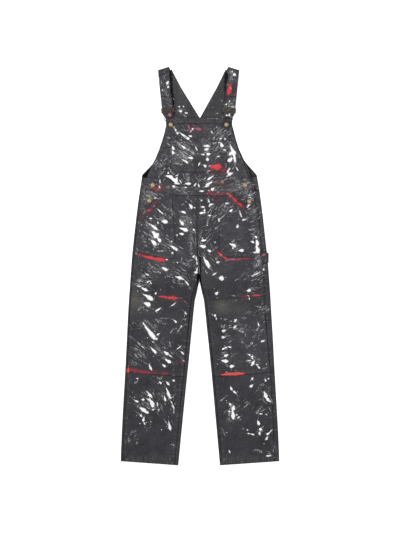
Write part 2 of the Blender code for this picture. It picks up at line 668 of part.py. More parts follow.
def make_hook(label, side):
    """Hook: a closed wire from the strap's turn, down round the button's shank."""
    frame = StrapFrame(side)
    button = frame.place(BIB_BUTTON_OUT, BIB_BUTTON_Y, BAR_Z)
    bar = frame.place(BAR_OUT, BAR_Y, BAR_Z)
    axis = (button - bar).normalized()
    axis_across = Vector((-axis.y, axis.x, 0)) * side
    ring = (BUTTON_SHANK + WIRE) / 2 + HOOK_LOOP_CLEAR
    right = [bar + frame.across * a + frame.down * d for a, d in HOOK_SHAPE]
    left = [bar - frame.across * a + frame.down * d for a, d in HOOK_SHAPE]
    neck = axis_across * (ring + HOOK_NECK_OUT)
    right.append(button + neck - axis * HOOK_NECK_UP)
    left.append(button - neck - axis * HOOK_NECK_UP)
    around = []
    for degrees in HOOK_LOOP_TURNS:
        turn = math.radians(degrees)
        around.append(button + axis_across * (ring * math.cos(turn))
                      - axis * (ring * math.sin(turn)))
    corners = right + around + list(reversed(left))
    tube(f"hook_{label}", closed_curve(corners, 3), WIRE / 2, DARK_WIRE)


def make_button(name, x, y, base, shank):
    """A turned shank button standing on the cloth at base."""
    head, neck = BUTTON_HEAD / 2, BUTTON_SHANK / 2
    low = base + shank
    top = low + BUTTON_HEIGHT
    profile = [(neck, base), (neck, low)]
    profile += [(head - inset, low + height) for inset, height in BUTTON_PROFILE]
    turns = BUTTON_TURNS
    points = [(x, y, base), (x, y, top)]
    for radius, z in profile:
        for i in range(turns):
            angle = 2 * math.pi * i / turns
            points.append((x + radius * math.cos(angle), y + radius * math.sin(angle), z))
    faces = []
    last = 2 + (len(profile) - 1) * turns
    for i in range(turns):
        j = (i + 1) % turns
        faces.append((0, 2 + j, 2 + i))
        faces.append((1, last + i, last + j))
        for ring in range(len(profile) - 1):
            a, b = 2 + ring * turns, 2 + (ring + 1) * turns
            faces.append((a + i, a + j, b + j, b + i))
    add_object(name, points, faces, BRASS)


def make_buttons():
    """Two bib buttons that hold the hooks, and four at the side openings."""
    band_top = BIB_LEVEL + 2 * CLOTH + SEAM_GAP
    for label, side in SIDES.items():
        x = STRAP_LEAN + side * BIB_BUTTON_OUT
        shank = BAR_Z + WIRE / 2 + SEAM_GAP - band_top
        make_button(f"bib_button_{label}", x, BIB_BUTTON_Y, band_top + SEAM_GAP, shank)
    for row in SIDE_BUTTONS:
        make_button(f"side_button_{row.name}", row.x, row.y, row.cloth_z + SEAM_GAP,
                    row.shank)


def make_hammer_loop():
    """A flattened tube of strap; its ends meet in the outseam."""
    base = LEG_ROLL + SEAM_GAP
    outer_radius = LOOP_HEIGHT / 2
    inner_radius = outer_radius - LOOP_CLOTH
    near, far = LOOP_X + outer_radius, LOOP_OUTER_X - outer_radius
    rings = []
    for radius in (outer_radius, inner_radius):
        ring = []
        for x, first in ((far, -90), (near, 90)):
            for i in range(6):
                turn = math.radians(first + 36 * i)
                ring.append((x + radius * math.cos(turn),
                             base + outer_radius + radius * math.sin(turn)))
        rings.append(ring)
    count = len(rings[0])
    points = []
    for y in (LOOP_Y - LOOP_LENGTH / 2, LOOP_Y + LOOP_LENGTH / 2):
        for ring in rings:
            points += [(x, y, z) for x, z in ring]
    faces = []
    for i in range(count):
        j = (i + 1) % count
        a, b, c, d = 0, count, 2 * count, 3 * count
        faces.append((a + i, a + j, b + j, b + i))
        faces.append((c + j, c + i, d + i, d + j))
        faces.append((a + j, a + i, c + i, c + j))
        faces.append((b + i, b + j, d + j, d + i))
    add_object("hammer_loop", points, faces, DENIM)


def build():
    """Make every piece in an empty scene."""
    for old in list(bpy.data.objects):
        bpy.data.objects.remove(old, do_unlink=True)
    for label, side in SIDES.items():
        make_back_leg(label, side)
        make_back_bib(label, side)
        make_front_leg(label, side)
        make_strap(label, side)
        make_slide(label, side)
        make_hook(label, side)
    make_bib()
    make_waistband()
    make_buttons()
    make_hammer_loop()


build()
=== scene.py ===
"""Looks of the work dungarees: coated charcoal denim, worn and spattered with paint.

Sizes are in millimetres in the model's own frame (+X towards the hammer loop, +Y towards
the shoulder straps, +Z up), and become metres where a mesh is made.
"""

import itertools
import math
import random

import bmesh
import bpy
import numpy as np
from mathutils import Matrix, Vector
from mathutils.bvhtree import BVHTree
from mathutils.kdtree import KDTree


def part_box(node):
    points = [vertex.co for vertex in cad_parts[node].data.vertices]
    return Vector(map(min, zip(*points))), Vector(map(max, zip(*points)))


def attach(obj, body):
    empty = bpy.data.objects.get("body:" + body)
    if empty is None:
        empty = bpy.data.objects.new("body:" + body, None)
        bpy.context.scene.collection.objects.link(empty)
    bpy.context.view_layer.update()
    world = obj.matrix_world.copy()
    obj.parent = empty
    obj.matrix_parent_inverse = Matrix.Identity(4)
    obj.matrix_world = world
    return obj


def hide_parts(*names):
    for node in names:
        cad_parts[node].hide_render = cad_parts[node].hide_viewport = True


MM = 0.001
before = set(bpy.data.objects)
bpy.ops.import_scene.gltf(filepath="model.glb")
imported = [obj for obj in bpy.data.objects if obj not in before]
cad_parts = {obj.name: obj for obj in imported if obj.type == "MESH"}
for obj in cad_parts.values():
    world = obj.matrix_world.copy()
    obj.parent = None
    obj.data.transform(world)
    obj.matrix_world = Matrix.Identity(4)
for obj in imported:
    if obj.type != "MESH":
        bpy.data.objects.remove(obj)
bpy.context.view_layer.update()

# ---------------------------------------------------------------- camera, floor, light

VIEW_HEIGHT = 2132.0        # height of the view on the ground
VIEW_MIDDLE_Y = -2.0
CAMERA_HEIGHT = 9000.0
CAMERA_REACH = 100.0        # metres
SENSOR = 36.0               # millimetres of film along the view's height
FLOOR_HALF = 6000.0
FLOOR_Z = -0.3
FLOOR_LOOK = {
    "Base Color": (0.93, 0.93, 0.93, 1), "Roughness": 0.9, "Specular IOR Level": 0.1,
    "Emission Color": (1, 1, 1, 1), "Emission Strength": 0.6,
}
SKY_STRENGTH = 0.60
# Soft lights: name, place, size, power
LIGHTS = (
    ("key", (-1900, 1500, 2100), 1300, 48.0), ("fill", (2000, -900, 2600), 2200, 24.0),
)


def new_object(name, data):
    """A new object in the scene."""
    made = bpy.data.objects.new(name, data)
    bpy.context.scene.collection.objects.link(made)
    return made


def make_stage():
    """Camera straight above, a pale floor and soft light."""
    scene = bpy.context.scene
    scene.view_settings.view_transform = "Standard"
    camera = bpy.data.cameras.new("camera")
    camera.sensor_fit = "VERTICAL"
    camera.sensor_height = SENSOR
    camera.lens = SENSOR * CAMERA_HEIGHT / VIEW_HEIGHT
    camera.clip_end = CAMERA_REACH
    holder = new_object("camera", camera)
    holder.location = Vector((0, VIEW_MIDDLE_Y, CAMERA_HEIGHT)) * MM
    scene.camera = holder

    mesh = bpy.data.meshes.new("floor")
    half = FLOOR_HALF * MM
    mesh.from_pydata([(-half, -half, 0), (half, -half, 0), (half, half, 0),
                      (-half, half, 0)], [], [(0, 1, 2, 3)])
    floor = new_object("floor", mesh)
    floor.location.z = FLOOR_Z * MM
    paper = bpy.data.materials.new("floor")
    paper.use_nodes = True
    shader = paper.node_tree.nodes["Principled BSDF"]
    for socket, value in FLOOR_LOOK.items():
        shader.inputs[socket].default_value = value
    mesh.materials.append(paper)

    world = bpy.data.worlds.new("studio")
    world.use_nodes = True
    sky = world.node_tree.nodes["Background"]
    sky.inputs["Color"].default_value = (1, 1, 1, 1)
    sky.inputs["Strength"].default_value = SKY_STRENGTH
    scene.world = world
    for name, place, size, power in LIGHTS:
        light = bpy.data.lights.new(name, "AREA")
        light.shape = "DISK"
        light.size = size * MM
        light.energy = power
        lamp = new_object(name, light)
        lamp.location = Vector(place) * MM
        lamp.rotation_euler = (-lamp.location).to_track_quat("-Z", "Y").to_euler()


# ---------------------------------------------------------------- shared soft forms

NOISE_GRID = 64             # the noise repeats after this many cells


def smooth(value, low=0.0, high=1.0):
    """0 to 1 with soft ends, as value goes from low to high. Takes arrays."""
    part = np.clip((np.asarray(value, float) - low) / (high - low), 0.0, 1.0)
    return part * part * (3.0 - 2.0 * part)


def soft_noise(x, y, size, seed):
    """Smooth noise from -1 to 1 over the plane, with cells of the given size."""
    grid = np.random.default_rng(seed).uniform(-1, 1, (NOISE_GRID, NOISE_GRID))
    u, v = np.asarray(x) / size, np.asarray(y) / size
    i, j = np.floor(u).astype(int), np.floor(v).astype(int)
    fu, fv = smooth(u - i), smooth(v - j)
    i0, i1, j0, j1 = (k % NOISE_GRID for k in (i, i + 1, j, j + 1))
    low = grid[i0, j0] * (1 - fu) + grid[i1, j0] * fu
    high = grid[i0, j1] * (1 - fu) + grid[i1, j1] * fu
    return low * (1 - fv) + high * fv


def turned_into(x, y, middle_x, middle_y, angle):
    """Places measured along and across a direction, from a middle."""
    turn = math.radians(angle)
    dx, dy = x - middle_x, y - middle_y
    return (dx * math.cos(turn) + dy * math.sin(turn),
            dy * math.cos(turn) - dx * math.sin(turn))


# Creases of the whole front: middle, direction, half length, half width, height and how
# far the ends bend away. A height below 0 is a trough.
CREASES = [
    (-42, -20, 62, 70, 9, 2.2, 8), (-70, 24, 38, 80, 11, 2.6, -10),
    (-96, -46, 30, 74, 12, 2.0, 12), (44, -10, 118, 70, 9, 2.0, -8),
    (70, 20, 146, 82, 11, 2.5, 10), (100, -52, 152, 76, 12, 2.1, -12),
    (-150, -24, 24, 80, 14, 1.7, 6), (158, -20, 158, 84, 14, 1.8, -6),
    (-214, 118, 84, 80, 12, 1.8, 8), (-180, 60, 66, 60, 12, 1.3, 6),
    (196, 122, 96, 84, 12, 1.9, -8), (150, 92, 120, 60, 12, 1.2, -6),
    (-128, 160, 100, 64, 12, 1.3, 5), (118, 190, 74, 60, 12, 1.2, -6),
    (-182, -190, 10, 70, 10, 1.8, 8), (-120, -226, -14, 60, 10, 1.5, -7),
    (-214, -262, 22, 56, 9, 1.7, 5), (-150, -300, 4, 76, 11, 2.0, 9),
    (-104, -352, -18, 56, 10, 1.6, -6), (-230, -368, 14, 56, 10, 1.5, 6),
    (-160, -404, 2, 66, 9, 1.3, 5),
    (150, -186, 172, 70, 10, 1.7, -8), (226, -232, 160, 52, 9, 1.6, 6),
    (118, -262, 12, 56, 10, 1.5, 7), (176, -306, 176, 78, 11, 2.0, -9),
    (232, -350, 166, 54, 10, 1.6, 6), (112, -362, 16, 54, 10, 1.5, 6),
    (176, -404, 178, 68, 9, 1.3, -5),
    (-250, -486, 74, 80, 12, 1.6, 8), (-176, -512, 98, 90, 12, 1.9, -9),
    (-120, -560, 84, 80, 12, 1.6, 8), (-226, -640, 104, 90, 13, 1.7, 8),
    (-150, -690, 76, 70, 12, 1.3, -7), (-270, -716, 96, 60, 11, 1.2, 5),
    (136, -498, 86, 80, 12, 1.7, 8), (204, -540, 104, 96, 12, 1.9, 9),
    (258, -590, 82, 84, 12, 1.5, -7), (148, -652, 98, 86, 13, 1.7, -8),
    (224, -694, 84, 72, 12, 1.4, 7), (280, -720, 98, 56, 11, 1.1, 5),
    (-64, 452, 62, 60, 11, 1.1, 5), (60, 446, 116, 64, 11, 1.1, -5),
    (0, 486, 92, 50, 13, 0.9, 5), (-142, 430, 78, 54, 10, 1.0, -5),
    (144, 424, 104, 54, 10, 1.0, 5), (-108, 350, 24, 48, 9, 0.9, 4),
    (96, 352, 152, 48, 9, 0.9, -4),
    (-100, 96, 40, 60, 8, -0.8, 5), (96, 82, 140, 60, 8, -0.8, -5),
    (-196, -330, 8, 60, 8, -0.8, 5), (204, -268, 170, 60, 8, -0.8, -5),
    (-206, -566, 88, 80, 8, -0.8, 6), (176, -600, 94, 80, 8, -0.8, -6),
]
CREASE_UNEVEN, CREASE_SPOT = 0.35, 38.0     # a crease's height varies, in spots this wide
CREASE_SEEDS = 97           # each crease's place gives one of so many seeds
BASE_LIFT = 0.5             # the front lies this much above its solid
# Small unevenness of the cloth: height, size of its cells, seed
WAVES = ((0.45, 46.0, 5), (0.225, 19.0, 6))
SOFT_FLOOR = 0.1            # rounds the lift off where it would fall below the solid
METAL_FLAT = (2.0, 30.0)    # round metal parts the cloth stays on its solid, then rises
METAL = [f"{kind}_{side}" for kind in ("slide", "hook", "bib_button", "side_button_upper",
                                       "side_button_lower") for side in ("left", "right")]
HEM_TOP = -757.0
HEM_CALM = (-807.0, -697.0)     # the creases die away towards the hem between these
# The waistband covers the cloth below it from the first of these heights to the second
BAND_LOW, BAND_HIGH = (267.0, 281.0), (322.0, 335.0)
BAND_RISE = 26.0            # how far its edges rise towards the sides
BAND_RISE_X = (85.0, 185.0)


def near_metal(x, y):
    """1 away from the metal parts and the hammer loop, 0 at them."""
    keep = np.ones_like(x)
    for node in (*METAL, "hammer_loop"):
        low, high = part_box(node)
        middle = (low + high) / 2 / MM
        reach = (high - low).length / MM / 2
        away = np.hypot(x - middle.x, y - middle.y) - reach
        keep = np.minimum(keep, smooth(away, *METAL_FLAT))
    return keep


def crease_lift(x, y):
    """How far the cloth of the front stands above its solid at each place."""
    height = np.full_like(x, BASE_LIFT)
    for cx, cy, angle, length, width, top, bend in CREASES:
        along, across = turned_into(x, y, cx, cy, angle)
        along = along / length
        across = across - bend * along * along
        uneven = 1.0 + CREASE_UNEVEN * soft_noise(x, y, CREASE_SPOT, cx % CREASE_SEEDS)
        height += top * uneven * np.exp(-along ** 2 - (across / width) ** 2)
    for wave, size, seed in WAVES:
        height += wave * soft_noise(x, y, size, seed)
    height = 0.5 * (height + np.sqrt(height * height + SOFT_FLOOR))
    return height * smooth(y, *HEM_CALM) * near_metal(x, y)


def in_waistband(x, y):
    """1 where the waistband covers the cloth below it."""
    level = y - BAND_RISE * smooth(np.abs(x), *BAND_RISE_X)
    return smooth(level, *BAND_LOW) * (1 - smooth(level, *BAND_HIGH))


# ---------------------------------------------------------------- cloth pieces

# Each cloth piece: CAD node, largest cell, height of its thickened edge, height of the
# puckers along its edge, what it lies on, and how much of it rolls over its edge.
CLOTH = [
    ("back_leg_left", 13.0, 0.0, 0.0, (), 25.0),
    ("back_leg_right", 13.0, 0.0, 0.0, (), 30.0),
    ("back_bib_left", 9.0, 0.0, 0.0, (), 12.0),
    ("back_bib_right", 9.0, 0.0, 0.0, (), 12.0),
    ("front_leg_left", 7.0, 0.6, 0.55, ("back_leg_left",), 0.0),
    ("front_leg_right", 7.0, 0.6, 0.55, ("back_leg_right",), 0.0),
    ("pocket_left", 5.0, 0.6, 0.35, ("front_leg_left",), 0.0),
    ("pocket_right", 5.0, 0.6, 0.35, ("front_leg_right",), 0.0),
    ("knee_patch_left", 6.0, 0.6, 0.35, ("front_leg_left",), 0.0),
    ("knee_patch_right", 6.0, 0.6, 0.35, ("front_leg_right",), 0.0),
    ("bib", 6.0, 0.5, 0.3, ("back_bib_left", "back_bib_right"), 0.0),
    ("bib_pocket", 5.0, 0.6, 0.35, ("bib",), 0.0),
    ("bib_band", 5.0, 0.3, 0.3, ("bib",), 0.0),
    ("waistband", 5.0, 0.3, 0.3, ("bib", "front_leg_left", "front_leg_right"), 0.0),
    ("strap_left", 5.0, 0.25, 0.12, ("back_bib_left",), 0.0),
    ("strap_right", 5.0, 0.25, 0.12, ("back_bib_right",), 0.0),
    ("hammer_loop", 4.0, 0.0, 0.0, ("front_leg_right",), 0.0),
]
SPLITS = 9                  # rounds of splitting that are enough for the longest edge
MERGE = 1e-6                # metres
FACING_UP = 0.35            # a face is part of the top where its normal rises this much
SHORT_RING = 8              # an outline with no more points than this is a sliver
OUTLINE_STEP = 1.5          # spacing of the places from which edge distances are taken
TOP_FROM = (1.3, 2.6)       # a point belongs to the top between these heights
WELT_EDGE = (8.0, 12.0)     # a welt ends between these distances from its edge
PUCKER_SPACING, PUCKER_REACH, PUCKER_SEED = 9.0, 13.0, 11
EDGE_DROP = 0.35            # how far a cut edge is rounded down
EDGE_ROUND = (0.2, 1.5)
EDGE_FROM = (1.5, 2.0)      # only edges above these heights are rounded
# The backs of the legs close up at the crotch: from and to distances below the middle, and
# sideways from the seam
CROTCH_X, CROTCH_SHIFT = -2.8, 0.85
CROTCH_FROM, CROTCH_TO, CROTCH_REACH = (-4.0, 16.0), (60.0, 68.0), (5.0, 14.0)
WAIST_SEAM = (281.0, 0.0925)    # height of the back's waist seam, and its rise outwards
WAIST_CLOSE, WAIST_REACH = 0.3, (1.0, 4.0)      # the legs' backs reach up to the seam
UNDER_BAND = ("front_leg_left", "front_leg_right", "bib")
STILL = ("strap_left", "strap_right", "hammer_loop")
EDGE_LIMIT = 80.0           # distances from an edge are kept up to this
STRAP_WIDTH, STRAP_THICK = 45.5, 2.0


def fine_copy(node, cell):
    """A working copy of a CAD node whose edges are all shorter than cell."""
    work = bmesh.new()
    work.from_mesh(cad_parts[node].data)
    bmesh.ops.remove_doubles(work, verts=work.verts, dist=MERGE)
    for _ in range(SPLITS):
        long_edges = [e for e in work.edges if e.calc_length() > cell * MM]
        if not long_edges:
            break
        bmesh.ops.subdivide_edges(work, edges=long_edges, cuts=1)
        bmesh.ops.triangulate(work, faces=[f for f in work.faces if len(f.verts) > 3])
    work.normal_update()
    work.verts.index_update()
    return work


def top_outline(work):
    """Closed rings of vertex numbers round the upward faces of a piece."""
    following = {}
    for face in work.faces:
        if face.normal.z < FACING_UP:
            continue
        for loop in face.loops:
            other = loop.link_loop_radial_next.face
            if other is face or other.normal.z < FACING_UP:
                following[loop.vert.index] = loop.link_loop_next.vert.index
    work.verts.ensure_lookup_table()
    loops = []
    while following:
        start = next(iter(following))
        ring, here = [start], following.pop(start)
        while here != start and here in following:
            ring.append(here)
            here = following.pop(here)
        if len(ring) > SHORT_RING:
            loops.append(ring)
    return loops


def ring_points(work, rings):
    """The rings' places in millimetres."""
    return [[work.verts[i].co / MM for i in ring] for ring in rings]


def resample(ring, step):
    """Points at equal steps round a closed loop, each with its direction."""
    places = []
    left = 0.0
    for i, start in enumerate(ring):
        end = ring[(i + 1) % len(ring)]
        way = end - start
        length = way.length
        while left < length:
            places.append((start + way * (left / length), way / length))
            left += step
        left -= length
    return places


def tree_of(places):
    """Finds the nearest of some places, seen from above."""
    tree = KDTree(len(places))
    for i, place in enumerate(places):
        tree.insert((place.x, place.y, 0), i)
    tree.balance()
    return tree


def edge_facts(points, loops):
    """For each point the distance to the outline, and the nearest point of it."""
    outline = [p for ring in loops for p, _ in resample(ring, OUTLINE_STEP)]
    if not outline:
        return np.full(len(points), EDGE_LIMIT), points[:, :2]
    tree = tree_of(outline)
    distance, foot = np.empty(len(points)), np.empty((len(points), 2))
    for i, (x, y, _) in enumerate(points):
        found, _, far = tree.find((x, y, 0))
        distance[i] = min(far, EDGE_LIMIT)
        foot[i] = found[:2]
    return distance, foot


def cloth_lift(node, points, top, distance, foot, welt, pucker):
    """How far each point of a cloth piece stands above its solid."""
    x, y, z = points.T
    upper = smooth(z, *TOP_FROM)
    lift = np.zeros_like(z) if node in STILL else crease_lift(x, y) * upper
    free = 1.0 - in_waistband(x, y) if node in UNDER_BAND else 1.0
    still = near_metal(x, y) if node not in STILL else 1.0
    inside = 1 - smooth(distance, *WELT_EDGE)
    lift = lift + welt * inside * top * free * still
    ripple = 0.5 + 0.5 * soft_noise(*foot.T, PUCKER_SPACING, PUCKER_SEED)
    fade = np.exp(-distance / PUCKER_REACH)
    lift = lift + pucker * ripple * fade * top * upper * free * still
    return lift - EDGE_DROP * top * (1 - smooth(distance, *EDGE_ROUND)) * smooth(z, *EDGE_FROM)


def drawn_together(x, y):
    """Places on the backs of the legs, drawn to the crotch seam and the waist seam."""
    close = CROTCH_SHIFT * smooth(-y, *CROTCH_FROM) * (1 - smooth(-y, *CROTCH_TO))
    close *= 1 - smooth(np.abs(x - CROTCH_X), *CROTCH_REACH)
    x = x - np.sign(x - CROTCH_X) * close
    below = WAIST_SEAM[0] + WAIST_SEAM[1] * np.abs(x) - y
    return x, y + WAIST_CLOSE * (1 - smooth(below, *WAIST_REACH))


def make_cloth(node, cell, welt, pucker, rests_on, wrap):
    """A soft shell of cloth on one CAD node, with its edge facts kept for its material."""
    work = fine_copy(node, cell)
    rings = top_outline(work)
    points = np.array([v.co for v in work.verts]) / MM
    distance, foot = edge_facts(points, ring_points(work, rings))
    top = np.zeros(len(points))
    for face in work.faces:
        if face.normal.z > FACING_UP:
            for vert in face.verts:
                top[vert.index] = 1.0
    x, y, z = points.T
    z = z + cloth_lift(node, points, top, distance, foot, welt, pucker)
    if node.startswith("back_leg"):
        x, y = drawn_together(x, y)
    for vert, across, along, height in zip(work.verts, x, y, z):
        vert.co = Vector((across, along, max(height, 0.0))) * MM
    loops = ring_points(work, rings)
    mesh = bpy.data.meshes.new(f"{node}_cloth")
    work.to_mesh(mesh)
    work.free()
    mesh.validate()
    mesh.shade_smooth()
    # Painted shadow beside the straps, at the armholes, the centre seam and the crotch; faces deep
    # in it get the copy of the material without gloss
    painted_shadow = painted_shadow_at(node, x, y)
    for name, values in (("edge", distance), ("foot_x", foot[:, 0]),
                         ("foot_y", foot[:, 1]), ("faded", soft_spots(FADED, x, y)),
                         ("haze", soft_spots(HAZE, x, y)), ("painted_shadow", painted_shadow),
                         ("olive", soft_spots(STAINS, x, y))):
        attribute = mesh.attributes.new(name, "FLOAT", "POINT")
        attribute.data.foreach_set("value", np.asarray(values, np.float32))
    piece = new_object(f"{node}_cloth", mesh)
    mesh.materials.append(cloth_material(node, False))
    if painted_shadow.max() > PAINTED_SHADE:
        mesh.materials.append(cloth_material(node, True))
        for face in mesh.polygons:
            if min(painted_shadow[v] for v in face.vertices) > PAINTED_SHADE:
                face.material_index = 1
    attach(piece, "root")
    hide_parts(node)
    declare_sheet(node, rests_on, wrap)
    return piece, loops


def declare_sheet(node, rests_on, wrap):
    """Works out the size of the piece's flat cloth, but keeps none of it."""
    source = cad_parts[node].data
    area = sum(p.area for p in source.polygons) / 2
    low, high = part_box(node)
    width, length = high.x - low.x, high.y - low.y
    if node in STILL:
        width = STRAP_WIDTH * MM if node != "hammer_loop" else length
        length = area / width + STRAP_THICK * MM
    width += wrap * MM
    area = min(area, width * length)
    [f"{under}_cloth" for under in rests_on]


# Soft spots on the cloth, as rows of middle, half sizes, turn and amount.
# Faded places
FADED = [
    (-170, -270, 90, 130, 0, 0.6), (168, -290, 90, 130, 0, 0.85), (-150, 60, 70, 120, 10, 0.15),
    (150, 120, 80, 90, 0, 0.6), (-150, 220, 60, 50, 0, 0.25), (-110, 300, 60, 30, 0, 0.3),
    (140, 380, 40, 50, 0, 0.3), (-180, -560, 80, 140, 0, 0.2), (180, -560, 80, 150, 0, 0.25),
    (0, 440, 110, 70, 0, 0.2), (-250, -140, 34, 44, 0, 0.7), (95, -160, 44, 34, 0, 0.7),
    (240, -330, 40, 90, 0, 0.6),
]
# Painted shadow lines, near black, in the gaps beside the straps, at the armholes, the
# centre seam and the crotch, for each piece: from, to, half width, amount
PAINTED_SHADOWS = {
    "strap_left": [(-120, 800, -116, 690, 4, 0.85), (-116, 690, -110, 600, 3, 0.6)],
    "strap_right": [(109, 800, 108, 745, 4, 0.85), (106, 745, 102, 640, 3, 0.5)],
    "back_bib_left": [
        (-120, 800, -108, 640, 7, 0.85), (-192, 412, -224, 362, 12, 1.0),
        (-224, 362, -200, 358, 7, 1.0),
    ],
    "back_bib_right": [
        (106, 800, 101, 700, 7, 0.85), (101, 700, 97, 640, 5, 0.4),
        (181, 440, 206, 356, 4, 0.85), (196, 400, 216, 366, 10, 0.4),
        (206, 356, 224, 300, 4, 0.7), (206, 360, 228, 360, 4, 0.7),
    ],
    "front_leg_left": [(-5, 45, -6, -60, 5, 1.0), (-11, 280, -10, 45, 2.5, 0.8)],
    "front_leg_right": [(-2, 45, 1, -60, 5, 1.0), (-8, 280, -6, 45, 2.5, 0.8)],
    "back_leg_left": [(-4, 45, -4, -70, 9, 1.0)],
    "back_leg_right": [(-1, 45, 0, -70, 9, 1.0)],
}
# A face with more painted shadow than this gets the copy of the cloth material without gloss, so its
# painted shadow is darker
PAINTED_SHADE = 0.5             # cloth darker than this has no gloss
# Dull olive stains
STAINS = [
    (-262, -134, 32, 42, 0, 0.75), (84, -160, 26, 24, 0, 0.8), (-222, -150, 26, 26, 0, 0.3),
    (150, -170, 40, 26, 0, 0.25), (-170, 20, 60, 40, 0, 0.2), (40, 0, 40, 60, 0, 0.2),
]
# Pale dusty haze of dry paint
HAZE = [
    (-250, -130, 30, 40, 0, 0.15), (88, -160, 24, 24, 0, 0.15), (-192, 145, 30, 18, -38, 0.5),
    (-45, 165, 22, 46, 8, 0.55), (-35, 60, 14, 26, 0, 0.5), (212, 215, 24, 20, 30, 0.4),
    (-88, 62, 26, 20, -35, 0.35), (-128, -15, 34, 20, -25, 0.3), (-88, -32, 30, 14, -25, 0.35),
    (140, 62, 18, 14, 0, 0.4), (176, -30, 40, 20, 20, 0.3), (-165, -340, 36, 20, -40, 0.35),
    (-250, -350, 40, 20, -35, 0.4), (-205, -245, 46, 20, -45, 0.35), (-245, -232, 24, 20, 0, 0.35),
    (180, -250, 40, 30, 0, 0.35), (205, -370, 22, 26, 0, 0.4), (110, -370, 22, 26, 0, 0.4),
    (245, -170, 22, 34, 0, 0.35), (192, -186, 16, 12, 0, 0.4), (-205, -550, 36, 22, -35, 0.35),
    (-150, -510, 24, 22, 0, 0.35), (-200, -490, 16, 40, -30, 0.3), (-200, -625, 16, 30, 0, 0.3),
    (-100, -490, 10, 40, 0, 0.4), (130, -580, 24, 34, 0, 0.4), (115, -622, 16, 20, 0, 0.35),
    (155, -530, 16, 14, 0, 0.3), (262, -525, 20, 30, 0, 0.4), (-66, 432, 44, 24, -30, 0.5),
    (-80, 484, 46, 24, -38, 0.42), (-110, 440, 24, 40, 0, 0.35), (30, 462, 26, 50, 30, 0.45),
    (130, 446, 24, 44, 0, 0.5), (-165, 400, 22, 40, 40, 0.45), (90, 470, 40, 30, 0, 0.35),
    (-30, 545, 60, 20, 0, 0.3), (80, 530, 60, 24, 0, 0.35), (-50, 350, 18, 24, 0, 0.4),
    (70, 545, 16, 12, 0, 0.3), (20, 500, 20, 14, 0, 0.35), (-200, 288, 40, 20, 0, 0.42),
    (-170, 318, 50, 16, 0, 0.35), (185, 325, 40, 22, 0, 0.42), (60, 330, 60, 24, 0, 0.35),
    (-70, 300, 60, 18, 0, 0.3), (120, 300, 50, 18, 0, 0.3), (195, 285, 24, 18, 0, 0.5),
    (150, 318, 30, 22, 0, 0.3), (148, 288, 16, 10, 0, 0.3), (-215, 262, 20, 18, 0, 0.4),
    (-225, 240, 24, 20, 40, 0.3), (230, 30, 24, 30, 0, 0.35), (125, 640, 24, 16, 0, 0.35),
    (-130, 655, 22, 30, 0, 0.35), (-140, 740, 22, 40, 80, 0.3), (128, 760, 20, 30, 0, 0.4),
    (-110, -715, 20, 16, -40, 0.35), (232, -738, 24, 10, -20, 0.35),
]


def soft_spots(table, x, y):
    """Sum of soft oval spots from a table."""
    total = np.zeros_like(x)
    for middle_x, middle_y, half_x, half_y, angle, amount in table:
        u, v = turned_into(x, y, middle_x, middle_y, angle)
        u, v = u / half_x, v / half_y
        total += amount * np.exp(-(u * u + v * v))
    return np.clip(total, 0, 1)


def painted_shadow_at(node, x, y):
    """How strongly the painted shadow lines darken each point of a piece."""
    total = np.zeros_like(x)
    for x0, y0, x1, y1, half, amount in PAINTED_SHADOWS.get(node, ()):
        way = np.array([x1 - x0, y1 - y0], float)
        part = np.clip(((x - x0) * way[0] + (y - y0) * way[1]) / (way @ way), 0, 1)
        away = np.hypot(x - x0 - part * way[0], y - y0 - part * way[1])
        total = np.maximum(total, amount * (1 - smooth(away, half * 0.7, half * 1.4)))
    return total


# ---------------------------------------------------------------- materials

